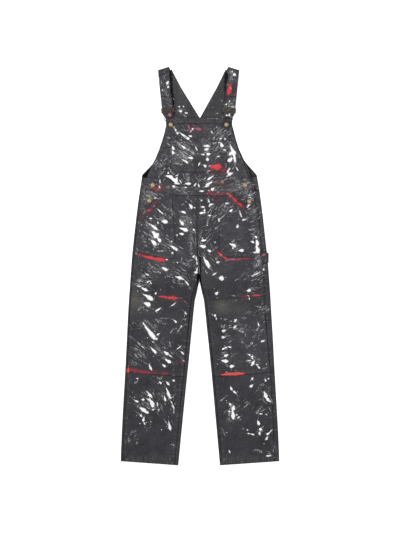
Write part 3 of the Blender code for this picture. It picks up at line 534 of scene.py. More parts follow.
class Nodes:
    """Short names for building a material's nodes."""

    def __init__(self, name):
        self.material = bpy.data.materials.new(name)
        self.material.use_nodes = True
        self.tree = self.material.node_tree
        self.shader = self.tree.nodes["Principled BSDF"]

    def link(self, value, socket):
        """Joins an output or sets a plain value."""
        if isinstance(value, bpy.types.NodeSocket):
            self.tree.links.new(value, socket)
        else:
            socket.default_value = value

    def surface(self, colour, rough, **plain):
        """The shader's colour and roughness, and plain values for its other sockets."""
        for name, value in (("Base Color", colour), ("Roughness", rough), *plain.items()):
            self.link(value, self.shader.inputs[name.replace("_", " ")])

    def math(self, kind, a, b=0.0, c=0.0, clamp=False):
        node = self.tree.nodes.new("ShaderNodeMath")
        node.operation = kind
        node.use_clamp = clamp
        for value, socket in zip((a, b, c), node.inputs):
            self.link(value, socket)
        return node.outputs[0]

    def times(self, first, *others, clamp=False):
        """Values multiplied one after the other."""
        for number, other in enumerate(others, 1):
            last = number == len(others)
            first = self.math("MULTIPLY", first, other, clamp=clamp and last)
        return first

    def plus(self, a, b, clamp=False):
        """The sum of two values."""
        return self.math("ADD", a, b, clamp=clamp)

    def swayed(self, value, *parts):
        """A value moved up and down by noises round 0.5, each by its amount."""
        for part, amount in parts:
            value = self.plus(value, self.times(self.math("SUBTRACT", part, 0.5), amount))
        return value

    def between(self, value, low, high, to_low=0.0, to_high=1.0):
        """Value taken from one span to another with soft ends."""
        node = self.tree.nodes.new("ShaderNodeMapRange")
        node.interpolation_type = "SMOOTHSTEP"
        for number, given in enumerate((value, low, high, to_low, to_high)):
            self.link(given, node.inputs[number])
        return node.outputs[0]

    def falling(self, value, low, high, to_low=1.0, to_high=0.0):
        """Like between, from 1 down to 0."""
        return self.between(value, low, high, to_low, to_high)

    def attribute(self, name, output="Fac"):
        node = self.tree.nodes.new("ShaderNodeAttribute")
        node.attribute_name = name
        return node.outputs[output]

    def place(self, scale=(1, 1, 1), turn=0.0):
        """Object coordinates in millimetres, scaled and turned."""
        coordinates = self.tree.nodes.new("ShaderNodeTexCoord")
        mapping = self.tree.nodes.new("ShaderNodeMapping")
        mapping.vector_type = "TEXTURE"
        mapping.inputs["Rotation"].default_value = (0, 0, math.radians(turn))
        mapping.inputs["Scale"].default_value = [MM / s for s in scale]
        self.tree.links.new(coordinates.outputs["Object"], mapping.inputs["Vector"])
        return mapping.outputs["Vector"]

    def texture(self, kind, output, vector, **inputs):
        """One output of a texture node at a place."""
        node = self.tree.nodes.new(f"ShaderNodeTex{kind}")
        self.link(vector, node.inputs["Vector"])
        for name, value in inputs.items():
            node.inputs[name.replace("_", " ")].default_value = value
        return node.outputs[output]

    def noise(self, vector, scale, detail=2.0, rough=0.5, distortion=0.0):
        return self.texture("Noise", "Fac", vector, Scale=scale, Detail=detail,
                            Roughness=rough, Distortion=distortion)

    def mix(self, share, a, b):
        """Mixed colour."""
        node = self.tree.nodes.new("ShaderNodeMix")
        node.data_type = "RGBA"
        self.link(share, node.inputs["Factor"])
        for colour, socket in zip((a, b), [s for s in node.inputs if s.type == "RGBA"]):
            self.link((*colour, 1) if isinstance(colour, tuple) else colour, socket)
        return [s for s in node.outputs if s.type == "RGBA"][0]

    def vector(self, x, y, z=0.0):
        node = self.tree.nodes.new("ShaderNodeCombineXYZ")
        for value, socket in zip((x, y, z), node.inputs):
            self.link(value, socket)
        return node.outputs[0]

    def bump(self, height):
        """Surface relief from a height in millimetres."""
        node = self.tree.nodes.new("ShaderNodeBump")
        node.inputs["Strength"].default_value = 1.0
        node.inputs["Distance"].default_value = MM
        self.link(height, node.inputs["Height"])
        self.link(node.outputs["Normal"], self.shader.inputs["Normal"])


# Cloth colours: painted shadow, painted shade and dirt of the hollows, deep, faded, worn edge, dry
# paint haze
COATED = ((0.0035, 0.0033, 0.0038), (0.010, 0.0095, 0.011), (0.0170, 0.0160, 0.0192),
          (0.066, 0.063, 0.076), (0.25, 0.245, 0.25), (0.33, 0.33, 0.34))
INNER = ((0.0035, 0.0033, 0.0038), (0.012, 0.012, 0.013), (0.0245, 0.0240, 0.0260),
         (0.064, 0.063, 0.068), (0.16, 0.155, 0.16), (0.30, 0.30, 0.31))
OLIVE = (0.090, 0.088, 0.072)
THREAD = ((0.05, 0.048, 0.054), (0.27, 0.265, 0.27))    # dirty and worn
PAINT_DIRT = (0.30, 0.295, 0.29)
SPECK = (0.55, 0.54, 0.53)
SPECK_SCALE = 0.085         # cells of specks per millimetre
TWILL_PITCH = 1.25
TWILL_TURN = 27.0
RUB_TURN = 38.0
WAIST_LOW, WAIST_HIGH = (275.0, 285.0), (355.0, 362.0)      # the seams there are worn most
DRAG_TURN = (-41.0, 40.0)   # direction of the dragged paint left and right of the middle
# Gloss and sheen of the open cloth, and of the copy under painted shadow, whose gloss is taken away
# so that the painted shadow is darker
OPEN_GLOSS, PAINTED_SHADE_GLOSS = (0.28, 0.05), (0.03, 0.0)


def twill_of(n):
    """Fine slanting ridges of the weave, 0 to 1."""
    return n.texture("Wave", "Fac", n.place(turn=TWILL_TURN), Distortion=1.2, Detail=2.0,
                     Scale=2 * math.pi / TWILL_PITCH / 20, Detail_Scale=2.0)


def mottled(n, flat, faded=None, parts=()):
    """How faded the coat is: soft clouds and blotches, calmer on the legs."""
    apart = n.tree.nodes.new("ShaderNodeSeparateXYZ")
    n.link(flat, apart.inputs[0])
    height_y = apart.outputs[1]
    upper = n.between(height_y, -140.0, 40.0)
    total = n.math("SUBTRACT", n.noise(flat, 0.014, 4.0, 0.6, 0.3), 0.5)
    total = n.swayed(total, (n.noise(flat, 0.035, 3.0, 0.55), 0.7), *parts)
    total = n.times(total, n.between(upper, 0.0, 1.0, 0.80, 1.15))
    if faded is not None:
        total = n.plus(total, n.times(faded, 0.34))
    total = n.plus(total, n.between(upper, 0.0, 1.0, 0.27, 0.46), clamp=True)
    return total, height_y, upper


def cloth_material(node, painted_shade_copy):
    """Coated twill for a cloth node, worn at its edges, dusty in places, with painted shade and
    shadow.
    """
    inner = node.startswith("back_bib")
    name = "inner_twill" if inner else "coated_twill"
    # The copy for faces deep in painted shadow: the same colours without gloss
    if painted_shade_copy:
        name += "_painted_shade"
    found = bpy.data.materials.get(name)
    if found:
        return found
    painted_shade, hollow_shade_and_dirt, deep, pale, worn, dust = INNER if inner else COATED
    n = Nodes(name)
    flat = n.place()
    twill = twill_of(n)
    yarn = n.noise(n.place((1.3, 0.07, 1)), 1.0, 2.0, 0.6)
    weft = n.noise(n.place((0.08, 1.3, 1)), 1.0, 2.0, 0.6)
    grain = n.noise(flat, 1.4, 3.0, 0.6)
    rub = n.noise(n.place(turn=RUB_TURN), 0.06, 5.0, 0.65, 0.6)
    edge = n.attribute("edge")
    foot_x = n.attribute("foot_x")
    pucker = n.noise(n.vector(foot_x, n.attribute("foot_y")), 0.14)

    # Colour: faded clouds and knees, blotches, yarn variation
    blotch = n.noise(flat, 0.10, 5.0, 0.72)
    fading, height_y, upper = mottled(n, flat, n.attribute("faded"), (
        (blotch, 0.8), (yarn, 0.4), (weft, 0.25), (twill, 0.16)))
    colour = n.mix(fading, deep, pale)
    colour = n.mix(n.attribute("olive"), colour, OLIVE)
    # Painted shade, with some dirt, in the hollows beside a seam
    seam_shade_and_dirt = n.times(n.falling(edge, 0.4, 3.6), n.falling(rub, 0.35, 0.6, 1.0, 0.55))
    colour = n.mix(seam_shade_and_dirt, colour, hollow_shade_and_dirt)
    # Worn tops of the puckers and of the welt, strongest on the waistband and the hems
    hem = n.falling(height_y, HEM_TOP - 4, HEM_TOP + 1)
    waist = n.times(n.between(height_y, *WAIST_LOW), n.falling(height_y, *WAIST_HIGH))
    ridge = n.times(n.between(edge, 2.5, 5.0), n.falling(edge, 9.0, 15.0))
    wear = n.times(ridge, n.between(pucker, 0.50, 0.68), n.between(rub, 0.42, 0.62, 0.1, 0.5),
                   n.plus(waist, 1.0))
    hem_pucker = n.noise(n.vector(foot_x, 0.0), 0.21, 3.0, 0.7)
    hem_wear = n.times(hem, n.between(hem_pucker, 0.46, 0.68, 0.0, 0.34))
    wear = n.times(n.plus(wear, hem_wear, clamp=True), n.between(grain, 0.35, 0.6, 0.45, 1.0))
    colour = n.mix(wear, colour, worn)
    # Painted shade in the hollows between the hem's puckers
    hem_valley_shade = n.times(hem, n.falling(hem_pucker, 0.38, 0.50, 0.6))
    colour = n.mix(hem_valley_shade, colour, hollow_shade_and_dirt)
    # Dry paint dragged over the twill's high lines
    drag = n.noise(n.place((0.030, 0.30, 1), DRAG_TURN[0]), 1.0, 5.0, 0.65)
    drag_back = n.noise(n.place((0.034, 0.30, 1), DRAG_TURN[1]), 1.0, 5.0, 0.65)
    side = n.between(foot_x, -60.0, 60.0)
    streak = n.plus(n.times(drag, n.math("SUBTRACT", 1.0, side)), n.times(drag_back, side))
    dusty = n.plus(n.attribute("haze"), n.times(n.attribute("faded"), 0.10))
    dusty = n.plus(dusty, n.times(upper, 0.07))
    dusty = n.swayed(dusty, (streak, 2.6), (blotch, 1.3), (twill, 0.12))
    crumbs = n.between(n.noise(flat, 0.15, 4.0, 0.75), 0.42, 0.60, 0.12, 1.6)
    dusty = n.times(n.between(dusty, 0.28, 1.0), crumbs, 0.60, clamp=True)
    colour = n.mix(dusty, colour, dust)
    # Painted shadow, near black, beside the straps, at the armholes, the centre seam and the crotch
    colour = n.mix(n.attribute("painted_shadow"), colour, painted_shade)
    # A few fine specks of paint everywhere
    chance = n.tree.nodes.new("ShaderNodeSeparateColor")
    n.link(n.texture("Voronoi", "Color", flat, Scale=SPECK_SCALE), chance.inputs[0])
    radius = n.between(chance.outputs[0], 0.72, 1.0, 0.0, 0.10)
    away = n.texture("Voronoi", "Distance", flat, Scale=SPECK_SCALE)
    speck = n.times(n.math("LESS_THAN", away, radius),
                    n.between(chance.outputs[1], 0.0, 1.0, 0.1, 0.6))
    colour = n.mix(speck, colour, SPECK)
    rough = n.plus(n.between(rub, 0.3, 0.7, 0.60, 0.76), n.times(wear, 0.1))
    gloss, sheen = PAINTED_SHADE_GLOSS if painted_shade_copy else OPEN_GLOSS
    n.surface(colour, rough, Specular_IOR_Level=gloss, Sheen_Weight=sheen, Sheen_Roughness=0.5)

    # Relief in millimetres
    height = n.times(twill, 0.10)
    for part in (n.times(yarn, 0.10), n.times(weft, 0.05),
                 n.times(n.noise(flat, 0.16, 4.0, 0.6), 0.65),
                 n.times(pucker, n.falling(edge, 0.0, 16.0), 1.3),
                 n.times(hem_pucker, hem, 1.8), n.times(speck, 0.12)):
        height = n.plus(height, part)
    n.bump(height)
    return n.material


def thread_material():
    """Grey seam thread, dirty and worn."""
    n = Nodes("thread")
    flat = n.place()
    colour = n.mix(n.noise(flat, 0.05, 3.0), *THREAD)
    n.surface(colour, 0.8, Specular_IOR_Level=0.2)
    n.bump(n.times(n.noise(flat, 2.5), 0.15))
    return n.material


def paint_material():
    """Dried house paint. The mesh keeps its colour, and in the alpha how thickly it lies.

    Thin paint is caught on the high lines of the twill alone, with the coat between.
    """
    n = Nodes("dried_paint")
    flat = n.place()
    dirt = n.noise(flat, 0.11, 4.0, 0.6)
    fine = n.noise(flat, 0.8, 4.0, 0.7)
    level = n.swayed(n.attribute("paint", "Alpha"), (fine, 1.4), (twill_of(n), 0.18))
    cover = n.between(level, 0.27, 0.46)
    fading, _, _ = mottled(n, flat)
    coat = n.mix(n.plus(fading, 0.08), COATED[2], COATED[3])
    grey = n.times(n.between(dirt, 0.52, 0.80), 0.28)
    colour = n.mix(grey, n.attribute("paint", "Color"), PAINT_DIRT)
    n.surface(n.mix(cover, coat, colour), n.falling(cover, 0.0, 1.0, 0.68, 0.46),
              Specular_IOR_Level=0.35)
    relief = n.plus(n.times(fine, 0.14), n.times(dirt, 0.3))
    n.bump(n.plus(relief, n.times(cover, 0.12)))
    return n.material


def metal_material(name, bright, dull, dirt_colour, low, high, middle=None):
    """Worn metal: bright where rubbed, dull and dirty in patches; a button's rim is darker."""
    n = Nodes(name)
    flat = n.place()
    patch = n.noise(flat, 0.16, 5.0, 0.65)
    fine = n.noise(flat, 1.3, 3.0, 0.6)
    colour = n.mix(n.between(patch, 0.38, 0.62), bright, dull)
    colour = n.mix(n.between(fine, 0.58, 0.78, 0.0, 0.8), colour, dirt_colour)
    if middle:
        ruler = n.tree.nodes.new("ShaderNodeVectorMath")
        ruler.operation = "DISTANCE"
        n.link(flat, ruler.inputs[0])
        ruler.inputs[1].default_value = middle
        away = ruler.outputs["Value"]
        rim = n.times(n.between(away, *BUTTON_RIM), n.falling(patch, 0.3, 0.6, 0.95, 0.6))
        inner, deepest, outer = BUTTON_GROOVE
        groove = n.times(n.between(away, inner, deepest), n.falling(away, deepest, outer))
        colour = n.mix(n.math("MAXIMUM", rim, groove), colour, dirt_colour)
    n.surface(colour, n.between(patch, 0.35, 0.7, low, high), Metallic=0.85)
    n.bump(n.times(fine, 0.06))
    return n.material


# ---------------------------------------------------------------- seams and stitches

# Rows of stitches: piece, from and to direction the edge faces (degrees, 0 is away from
# the middle line and 90 towards the shoulders), distances in from the edge
STITCHES = [
    ("front_leg", -50, 50, (2.6, 8.8)), ("front_leg", 130, 230, (2.6,)),
    ("front_leg", 230, 310, (19.0,)),
    ("pocket", 15, 80, (2.6, 8.4)), ("pocket", 80, 375, (2.6, 8.4)),
    ("knee_patch", 45, 135, (2.6, 62.0)), ("knee_patch", 225, 315, (2.6, 8.4)),
    ("knee_patch", -45, 45, (2.6,)),
    ("bib_pocket", 45, 135, (3.0, 14.0)), ("bib_pocket", 135, 405, (2.6, 8.4)),
    ("bib_band", 45, 135, (3.0,)), ("bib_band", 225, 315, (2.6,)),
    ("bib", -60, 60, (3.0, 10.0)),
    ("waistband", 0, 360, (2.8,)), ("waistband", 45, 135, (8.5,)),
    ("strap", -45, 45, (3.2,)), ("strap", 135, 225, (3.2,)),
    ("back_bib", -75, 75, (3.2, 10.0)), ("back_bib", 105, 255, (3.2,)),
]
STITCH_PITCH = 3.6
STITCH_LENGTH = 2.6
STITCH_RADIUS = 0.32
STITCH_STEP = 2.0           # a row is hidden where the cloth stands this far above its edge
STITCH_SMOOTH = 4           # places each side over which an edge's direction is averaged
STITCH_SLACK = 0.8          # a row may come this much nearer to its edge at a corner
STITCH_LOST = 0.03          # share of the stitches that are worn through
STITCH_UNEVEN = (0.85, 1.1)
STITCH_SWAY = 0.12
STITCH_SUNK = (0.05, 0.2)   # how deep the ends and the middle of a stitch lie in the cloth
STITCH_HIGH = 1.3           # a stitch's height over its radius
ABOVE_ALL = 60.0
STITCH_SEED = 3


def new_mesh(name, points, faces, material):
    """A smooth mesh of its own from points in millimetres."""
    mesh = bpy.data.meshes.new(name)
    mesh.from_pydata([Vector(p) * MM for p in points], [], faces)
    mesh.shade_smooth()
    mesh.materials.append(material)
    return new_object(name, mesh)


def surface_of(pieces):
    """Something to ask for the height of the cloth's upper face."""
    points, faces = [], []
    for piece in pieces:
        mesh = piece.data
        start = len(points)
        points += [v.co / MM for v in mesh.vertices]
        faces += [[start + i for i in p.vertices] for p in mesh.polygons]
    return BVHTree.FromPolygons(points, faces)


def height_at(surface, x, y):
    """Height of the cloth at a place, or None beside it."""
    found = surface.ray_cast(Vector((x, y, ABOVE_ALL)), Vector((0, 0, -1)))
    return None if found[0] is None else found[0].z


def facing(way, side):
    """Direction an edge faces, in degrees; its piece is on the left of way."""
    return math.degrees(math.atan2(-way.x, way.y * side)) % 360


def stitch_places(ring, side, low, high, inset):
    """Middles and directions of stitches in from the part of an outline facing low..high."""
    places = resample(ring, STITCH_PITCH)
    count = len(places)
    outline = tree_of([place for place, _ in places])
    for i in range(count):
        way = Vector((0, 0, 0))
        for k in range(-STITCH_SMOOTH, STITCH_SMOOTH + 1):
            way += places[(i + k) % count][1]
        way.z = 0
        if way.length < STITCH_SMOOTH:
            continue
        way.normalize()
        if (facing(way, side) - low) % 360 > high - low:
            continue
        place = places[i][0] + Vector((-way.y, way.x, 0)) * inset
        near = outline.find((place.x, place.y, 0))[2]
        if near > inset - STITCH_SLACK:
            yield place, way


def make_stitches(loops_of, surface):
    """Every row of stitches, as small grains lying on the cloth."""
    points, faces = [], []
    rng = random.Random(STITCH_SEED)
    for kind, low, high, insets in STITCHES:
        for node, loops in loops_of.items():
            if node not in (kind, f"{kind}_left", f"{kind}_right"):
                continue
            side = -1 if node.endswith("left") else 1
            for ring, inset in itertools.product(loops, insets):
                for place, way in stitch_places(ring, side, low, high, inset):
                    if rng.random() >= STITCH_LOST:
                        add_stitch(points, faces, surface, place, way, rng)
    stitches = new_mesh("stitches", points, faces, thread_material())
    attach(stitches, "root")


def add_stitch(points, faces, surface, place, way, rng):
    """One grain of thread, lying on the cloth along way."""
    top = height_at(surface, place.x, place.y)
    if top is None or abs(top - place.z) > STITCH_STEP:
        return
    across = Vector((-way.y, way.x, 0))
    half = STITCH_LENGTH / 2 * rng.uniform(*STITCH_UNEVEN)
    way = (way + across * rng.uniform(-STITCH_SWAY, STITCH_SWAY)).normalized()
    rings = []
    for along, radius in ((-half, 0.0), (-half * 0.6, 1.0), (half * 0.6, 1.0), (half, 0.0)):
        middle = place + way * along
        z = height_at(surface, middle.x, middle.y)
        if z is None:
            return
        if radius == 0:
            rings.append([(*middle.xy, z - STITCH_SUNK[0])])
            continue
        wide = across * STITCH_RADIUS
        rings.append([(*(middle - wide).xy, z), (*middle.xy, z + STITCH_RADIUS * STITCH_HIGH),
                      (*(middle + wide).xy, z), (*middle.xy, z - STITCH_SUNK[1])])
    start = len(points)
    for ring in rings:
        points.extend(ring)
    for i in range(4):
        j = (i + 1) % 4
        faces.append((start, start + 1 + j, start + 1 + i))
        faces.append((start + 1 + i, start + 1 + j, start + 5 + j, start + 5 + i))
        faces.append((start + 5 + i, start + 5 + j, start + 9))


# ---------------------------------------------------------------- paint

PAINTS = {
    "white": (0.95, 0.95, 0.95), "pale": (0.52, 0.52, 0.53), "blue": (0.10, 0.10, 0.19),
    "red": (0.60, 0.040, 0.055), "scarlet": (0.70, 0.075, 0.055), "orange": (0.52, 0.115, 0.070),
    "crimson": (0.27, 0.022, 0.045), "dusk": (0.17, 0.030, 0.045), "brick": (0.17, 0.055, 0.042),
    "pink": (0.62, 0.33, 0.36), "rose": (0.42, 0.10, 0.16),
}
REDS = ("red", "scarlet", "crimson", "orange")
WHITES = (*[PAINTS["white"]] * 5, (0.92, 0.95, 0.935), (0.94, 0.92, 0.95))
# Order in which the paints lie on each other, and how much higher each lies
LAYERS = ("dusk", "brick", "crimson", "red", "scarlet", "orange", "rose", "blue", "pale",
          "white", "pink")
LAYER_RISE = 0.03
# Strokes for each paint: middle, direction, length, width and cover
STROKES = {
    "white": [
        # bib
        (-103, 556, 0, 10, 7, .6), (-97, 543, -60, 18, 7, .85), (-90, 531, -10, 14, 9, .9),
        (-68, 524, -35, 46, 8, .9), (-49, 510, -15, 16, 11, 1), (-38, 519, -10, 14, 8, 1),
        (-29, 548, 0, 8, 8, 1), (-127, 513, -20, 16, 8, .7), (-97, 515, 60, 10, 7, .4),
        (-128, 494, -35, 16, 6, .4), (-107, 471, -70, 16, 11, 1), (-108, 453, -60, 16, 10, .95),
        (-88, 444, 60, 10, 8, .7), (-86, 489, -40, 24, 8, .7), (-42, 461, -35, 54, 6, .72),
        (-65, 475, -40, 22, 9, 1), (-74, 452, -45, 26, 8, .68), (-62, 436, -38, 30, 10, .7),
        (-37, 432, -5, 22, 10, 1), (-60, 420, -25, 34, 9, .8), (-52, 413, -20, 14, 7, .9),
        (-85, 408, -10, 40, 7, .55), (-30, 406, 0, 9, 9, .5), (-24, 484, -40, 10, 6, .35),
        (-15, 470, -68, 26, 6, .75), (27, 480, 0, 24, 9, 1), (26, 466, 20, 20, 9, 1),
        (38, 478, 60, 18, 8, .6), (12, 446, 0, 16, 8, .8), (33, 447, 10, 18, 11, 1),
        (30, 426, 80, 14, 13, 1), (47, 536, -60, 14, 7, .8), (32, 545, 30, 12, 6, .5),
        (70, 543, 60, 14, 10, .4), (55, 511, 60, 16, 9, .7), (83, 509, 20, 12, 8, .8),
        (100, 508, -70, 12, 8, .9), (60, 491, 10, 20, 7, .7), (76, 494, 0, 10, 5, .9),
        (87, 483, -70, 20, 14, 1), (98, 464, -10, 18, 7, .8), (76, 454, 50, 16, 5, .5),
        (74, 438, 10, 14, 7, .85), (110, 530, 80, 14, 4, .4), (127, 492, -50, 12, 8, .4),
        (124, 475, -80, 22, 8, .8), (133, 455, -70, 34, 20, 1), (122, 450, 60, 20, 12, 1),
        (138, 432, -80, 34, 10, 1), (120, 424, 40, 24, 16, 1), (140, 420, -70, 20, 8, .8),
        (-3, 408, 65, 22, 6, .9),
        # chest and waist, right
        (20, 400, -30, 18, 12, .9), (40, 351, 35, 30, 8, .95), (-2, 343, 0, 14, 10, .6),
        (33, 326, 38, 34, 13, 1), (60, 335, 10, 12, 7, .5), (90, 338, -40, 16, 12, .6),
        (50, 307, 40, 16, 12, 1), (-5, 322, -70, 18, 8, .8), (8, 299, 0, 18, 6, 1),
        (6, 262, 30, 10, 9, .9), (35, 259, -60, 16, 7, .8), (72, 294, 40, 12, 7, .6),
        (92, 292, 20, 14, 6, .4), (118, 305, 10, 14, 6, .6), (120, 368, 20, 22, 12, 1),
        (112, 378, 75, 18, 8, 1), (118, 388, 60, 12, 8, .9), (109, 359, 20, 12, 5, .9),
        (148, 388, -60, 26, 5, .8), (139, 349, 45, 12, 7, .6), (190, 335, 20, 14, 6, .5),
        (197, 283, 0, 12, 5, .9), (200, 274, 0, 12, 4, .8), (205, 268, 60, 16, 8, .6),
        (110, 251, 0, 12, 6, .9), (50, 267, 0, 10, 6, .5),
        # chest and waist, left
        (-127, 372, 90, 12, 8, .9), (-120, 357, -15, 30, 14, 1), (-105, 345, -35, 30, 14, 1),
        (-95, 340, 75, 30, 12, 1), (-92, 362, 25, 16, 5, .9), (-90, 329, 0, 20, 6, 1),
        (-78, 338, -60, 22, 5, .75), (-48, 347, 80, 24, 10, .6), (-50, 367, 10, 20, 7, .5),
        (-47, 329, 0, 22, 12, 1), (-20, 324, 55, 14, 8, .95), (-105, 318, 0, 12, 11, .95),
        (-128, 315, 70, 20, 12, .55), (-57, 314, -5, 12, 5, .95), (-69, 291, 10, 16, 10, .4),
        (-157, 367, 30, 12, 6, .6), (-164, 355, -80, 14, 6, .6), (-160, 338, -85, 20, 6, .75),
        (-162, 316, -80, 12, 6, .9), (-143, 345, 60, 12, 7, .5), (-120, 388, -50, 22, 5, .6),
        (-108, 372, -50, 24, 7, .45), (-172, 392, 60, 26, 8, .4), (-165, 405, 60, 20, 7, .3),
        (-150, 420, -50, 26, 6, .4), (-145, 393, 0, 8, 8, .4), (-38, 262, -45, 26, 5, .5),
        (-46, 278, 0, 6, 5, .6), (-56, 257, -20, 10, 5, .7), (-179, 272, 0, 10, 8, .9),
        (-168, 270, 0, 8, 4, .5), (-205, 300, 0, 8, 6, .5),
        # hip, left
        (-143, 238, -45, 22, 5, .65), (-125, 224, -32, 30, 5, .5), (-110, 206, -15, 10, 8, .65),
        (-158, 217, -42, 42, 6, .75), (-197, 190, -3, 14, 7, .85), (-140, 177, -12, 24, 16, 1),
        (-152, 190, -50, 18, 8, .5), (-168, 173, -75, 12, 9, .8), (-153, 164, -45, 24, 6, .4),
        (-207, 169, -38, 24, 8, .7), (-183, 155, -38, 42, 10, .95), (-178, 124, -45, 34, 22, 1),
        (-163, 104, -50, 22, 14, 1), (-168, 127, 0, 12, 12, .9), (-184, 93, -45, 28, 15, 1),
        (-195, 104, -40, 20, 8, .5), (-174, 83, 0, 10, 6, .6), (-222, 115, -45, 30, 7, .45),
        (-228, 120, 0, 10, 9, .55), (-102, 71, -35, 32, 12, 1), (-120, 84, -35, 24, 8, .45),
        (-140, 88, -20, 16, 9, .4), (-113, 98, -10, 8, 7, .9), (-121, 100, 0, 8, 6, .5),
        (-92, 123, 0, 9, 8, .8), (-110, 52, -35, 12, 8, .8), (-157, 60, 5, 32, 7, .55),
        (-251, 67, -70, 18, 6, .6), (-255, 52, -60, 16, 8, .7), (-234, 165, -60, 8, 5, .6),
        # hip, middle
        (-70, 245, 0, 10, 8, .5), (-36, 238, -55, 22, 12, 1), (-22, 233, -10, 10, 6, .8),
        (-65, 215, -20, 20, 10, 1), (-78, 190, -85, 16, 7, .6), (-71, 172, 20, 14, 12, 1),
        (-73, 172, -50, 26, 10, .95), (-62, 146, -15, 34, 15, 1), (-73, 128, -5, 18, 10, 1),
        (-44, 180, -25, 26, 6, .6), (-36, 174, 0, 8, 6, .8), (-25, 145, -45, 14, 10, .8),
        (-22, 202, 0, 6, 5, .6), (-38, 120, -85, 30, 5, .5), (-30, 107, -50, 12, 5, .5),
        (-40, 94, 0, 8, 8, .6), (-25, 38, 60, 16, 10, .9), (-35, 25, 40, 14, 6, .6),
        (-15, 30, -80, 24, 7, .9), (-12, 12, -85, 20, 6, .75), (-20, 5, 60, 16, 5, .5),
        (-12, -15, 80, 26, 8, .9), (-15, -26, 0, 16, 10, 1), (-24, -37, 0, 8, 7, .6),
        (1, 240, -85, 20, 5, .5), (12, 236, -5, 14, 8, .95), (8, 212, 5, 22, 10, 1),
        (18, 222, 80, 18, 8, .9), (36, 258, -65, 14, 6, .8), (44, 246, 10, 18, 8, 1),
        (38, 240, 80, 12, 8, .8), (46, 225, 60, 14, 8, .5), (38, 202, 5, 14, 7, 1),
        (31, 178, 78, 22, 6, .65), (29, 163, 0, 7, 7, .8), (65, 230, 50, 14, 6, .6),
        (60, 198, -20, 12, 6, .5), (76, 184, -88, 20, 8, .8), (88, 195, 38, 34, 5, .7),
        (65, 152, 35, 16, 8, .7), (82, 124, 0, 10, 7, .5), (60, 95, 0, 8, 6, .9),
        (2, 115, 60, 8, 8, .6), (14, 102, 5, 20, 10, 1), (13, 78, -8, 24, 14, 1),
        (5, 92, -60, 18, 8, .6), (-4, 88, -80, 20, 6, .5), (38, 60, -25, 16, 10, 1),
        (28, 12, -60, 50, 14, 1), (46, -14, -60, 16, 5, .5), (22, 45, -88, 20, 5, .3),
        (58, -32, 35, 24, 8, .75), (86, -49, 0, 21, 20, 1), (66, 75, 45, 14, 8, .5),
        (67, 30, 70, 20, 8, .6), (72, 15, 15, 18, 9, .9), (105, 5, 0, 16, 8, .4),
        # hip, right
        (106, 250, 15, 14, 7, .8), (100, 240, 60, 16, 8, .65), (96, 223, -35, 14, 7, .6),
        (124, 221, 45, 16, 10, 1), (150, 235, -40, 14, 6, .4), (160, 215, -70, 26, 7, .7),
        (163, 205, -65, 32, 7, .75), (176, 185, 12, 22, 8, .9), (190, 192, 20, 20, 5, .6),
        (150, 158, 80, 14, 10, 1), (195, 243, 20, 16, 10, .9), (190, 236, 50, 12, 7, .8),
        (216, 212, 60, 20, 8, .5), (207, 146, 10, 32, 9, .6), (213, 127, 0, 12, 8, .6),
        (236, 137, 80, 20, 4, .6), (224, 116, -30, 12, 9, 1), (213, 108, 80, 12, 5, .6),
        (211, 96, -20, 14, 10, 1), (229, 92, -80, 26, 14, 1), (230, 66, -80, 34, 17, 1),
        (222, 55, 0, 20, 6, 1), (220, 75, 70, 14, 6, .6), (133, 100, 40, 18, 8, .7),
        (133, 83, -25, 30, 12, 1), (132, 72, 60, 12, 8, .9), (166, 62, 0, 20, 13, 1),
        (160, 86, 10, 12, 6, .4), (193, 74, 0, 5, 5, .5), (230, 248, -30, 16, 8, .35),
        (210, 265, -60, 18, 8, .6),
        # thighs
        (133, 30, 0, 8, 6, .5), (108, 22, 0, 14, 6, .5), (190, 8, 25, 16, 6, .4),
        (225, 35, 60, 18, 8, .5), (235, 20, 10, 16, 12, .7), (243, 22, -60, 20, 5, .5),
        (228, 0, 8, 36, 8, .5), (254, -14, 75, 14, 8, .8), (256, 0, 60, 16, 5, .5),
        (225, -32, 24, 46, 6, .75), (210, -40, 0, 10, 6, .8), (250, -28, -45, 10, 5, .6),
        (182, -52, 35, 22, 5, .5), (142, -57, 50, 8, 6, .6), (205, -67, -35, 18, 5, .4),
        (196, -98, 0, 17, 12, 1), (189, -108, -80, 14, 5, .5), (197, -130, -80, 14, 5, .85),
        (225, -86, 0, 8, 6, .5), (210, -92, 25, 24, 6, .4), (67, -109, 50, 20, 16, .9),
        (133, -119, -10, 20, 7, .7), (-133, 26, -20, 12, 7, .9), (-235, 14, -5, 40, 9, .35),
        (-203, 8, -60, 16, 5, .6), (-192, -4, -60, 10, 6, .6), (-140, -12, -30, 26, 12, 1),
        (-158, -6, -20, 14, 6, .4), (-163, -25, -25, 22, 7, .65), (-211, -34, -20, 22, 6, .9),
        (-225, -38, -25, 18, 8, .7), (-241, -58, 0, 18, 14, .65), (-210, -64, 70, 12, 6, .8),
        (-202, -61, 10, 14, 5, .85), (-196, -68, -65, 14, 5, .8), (-262, -73, -30, 12, 6, .5),
        (-243, -81, -12, 26, 7, .75), (-220, -94, -30, 28, 11, 1), (-215, -85, -50, 12, 5, .5),
        (-177, -110, 65, 11, 8, .95), (-90, 14, 0, 8, 7, .9), (-107, 14, 60, 8, 7, .5),
        (-64, 10, -20, 16, 8, .7), (-106, -5, -40, 18, 4, .4), (-82, -47, -15, 26, 13, .95),
        (-70, -52, -30, 20, 6, .8), (-52, -68, -50, 30, 8, .75), (-42, -85, -65, 22, 5, .6),
        (-78, -70, -5, 28, 5, .55), (-100, -60, -20, 20, 5, .35),
        # knee, left
        (-203, -126, -28, 42, 20, 1), (-209, -153, -30, 26, 22, 1), (-242, -171, 40, 26, 6, .7),
        (-214, -176, -25, 20, 5, .6), (-168, -175, 33, 28, 8, .95), (-106, -154, 36, 34, 6, .75),
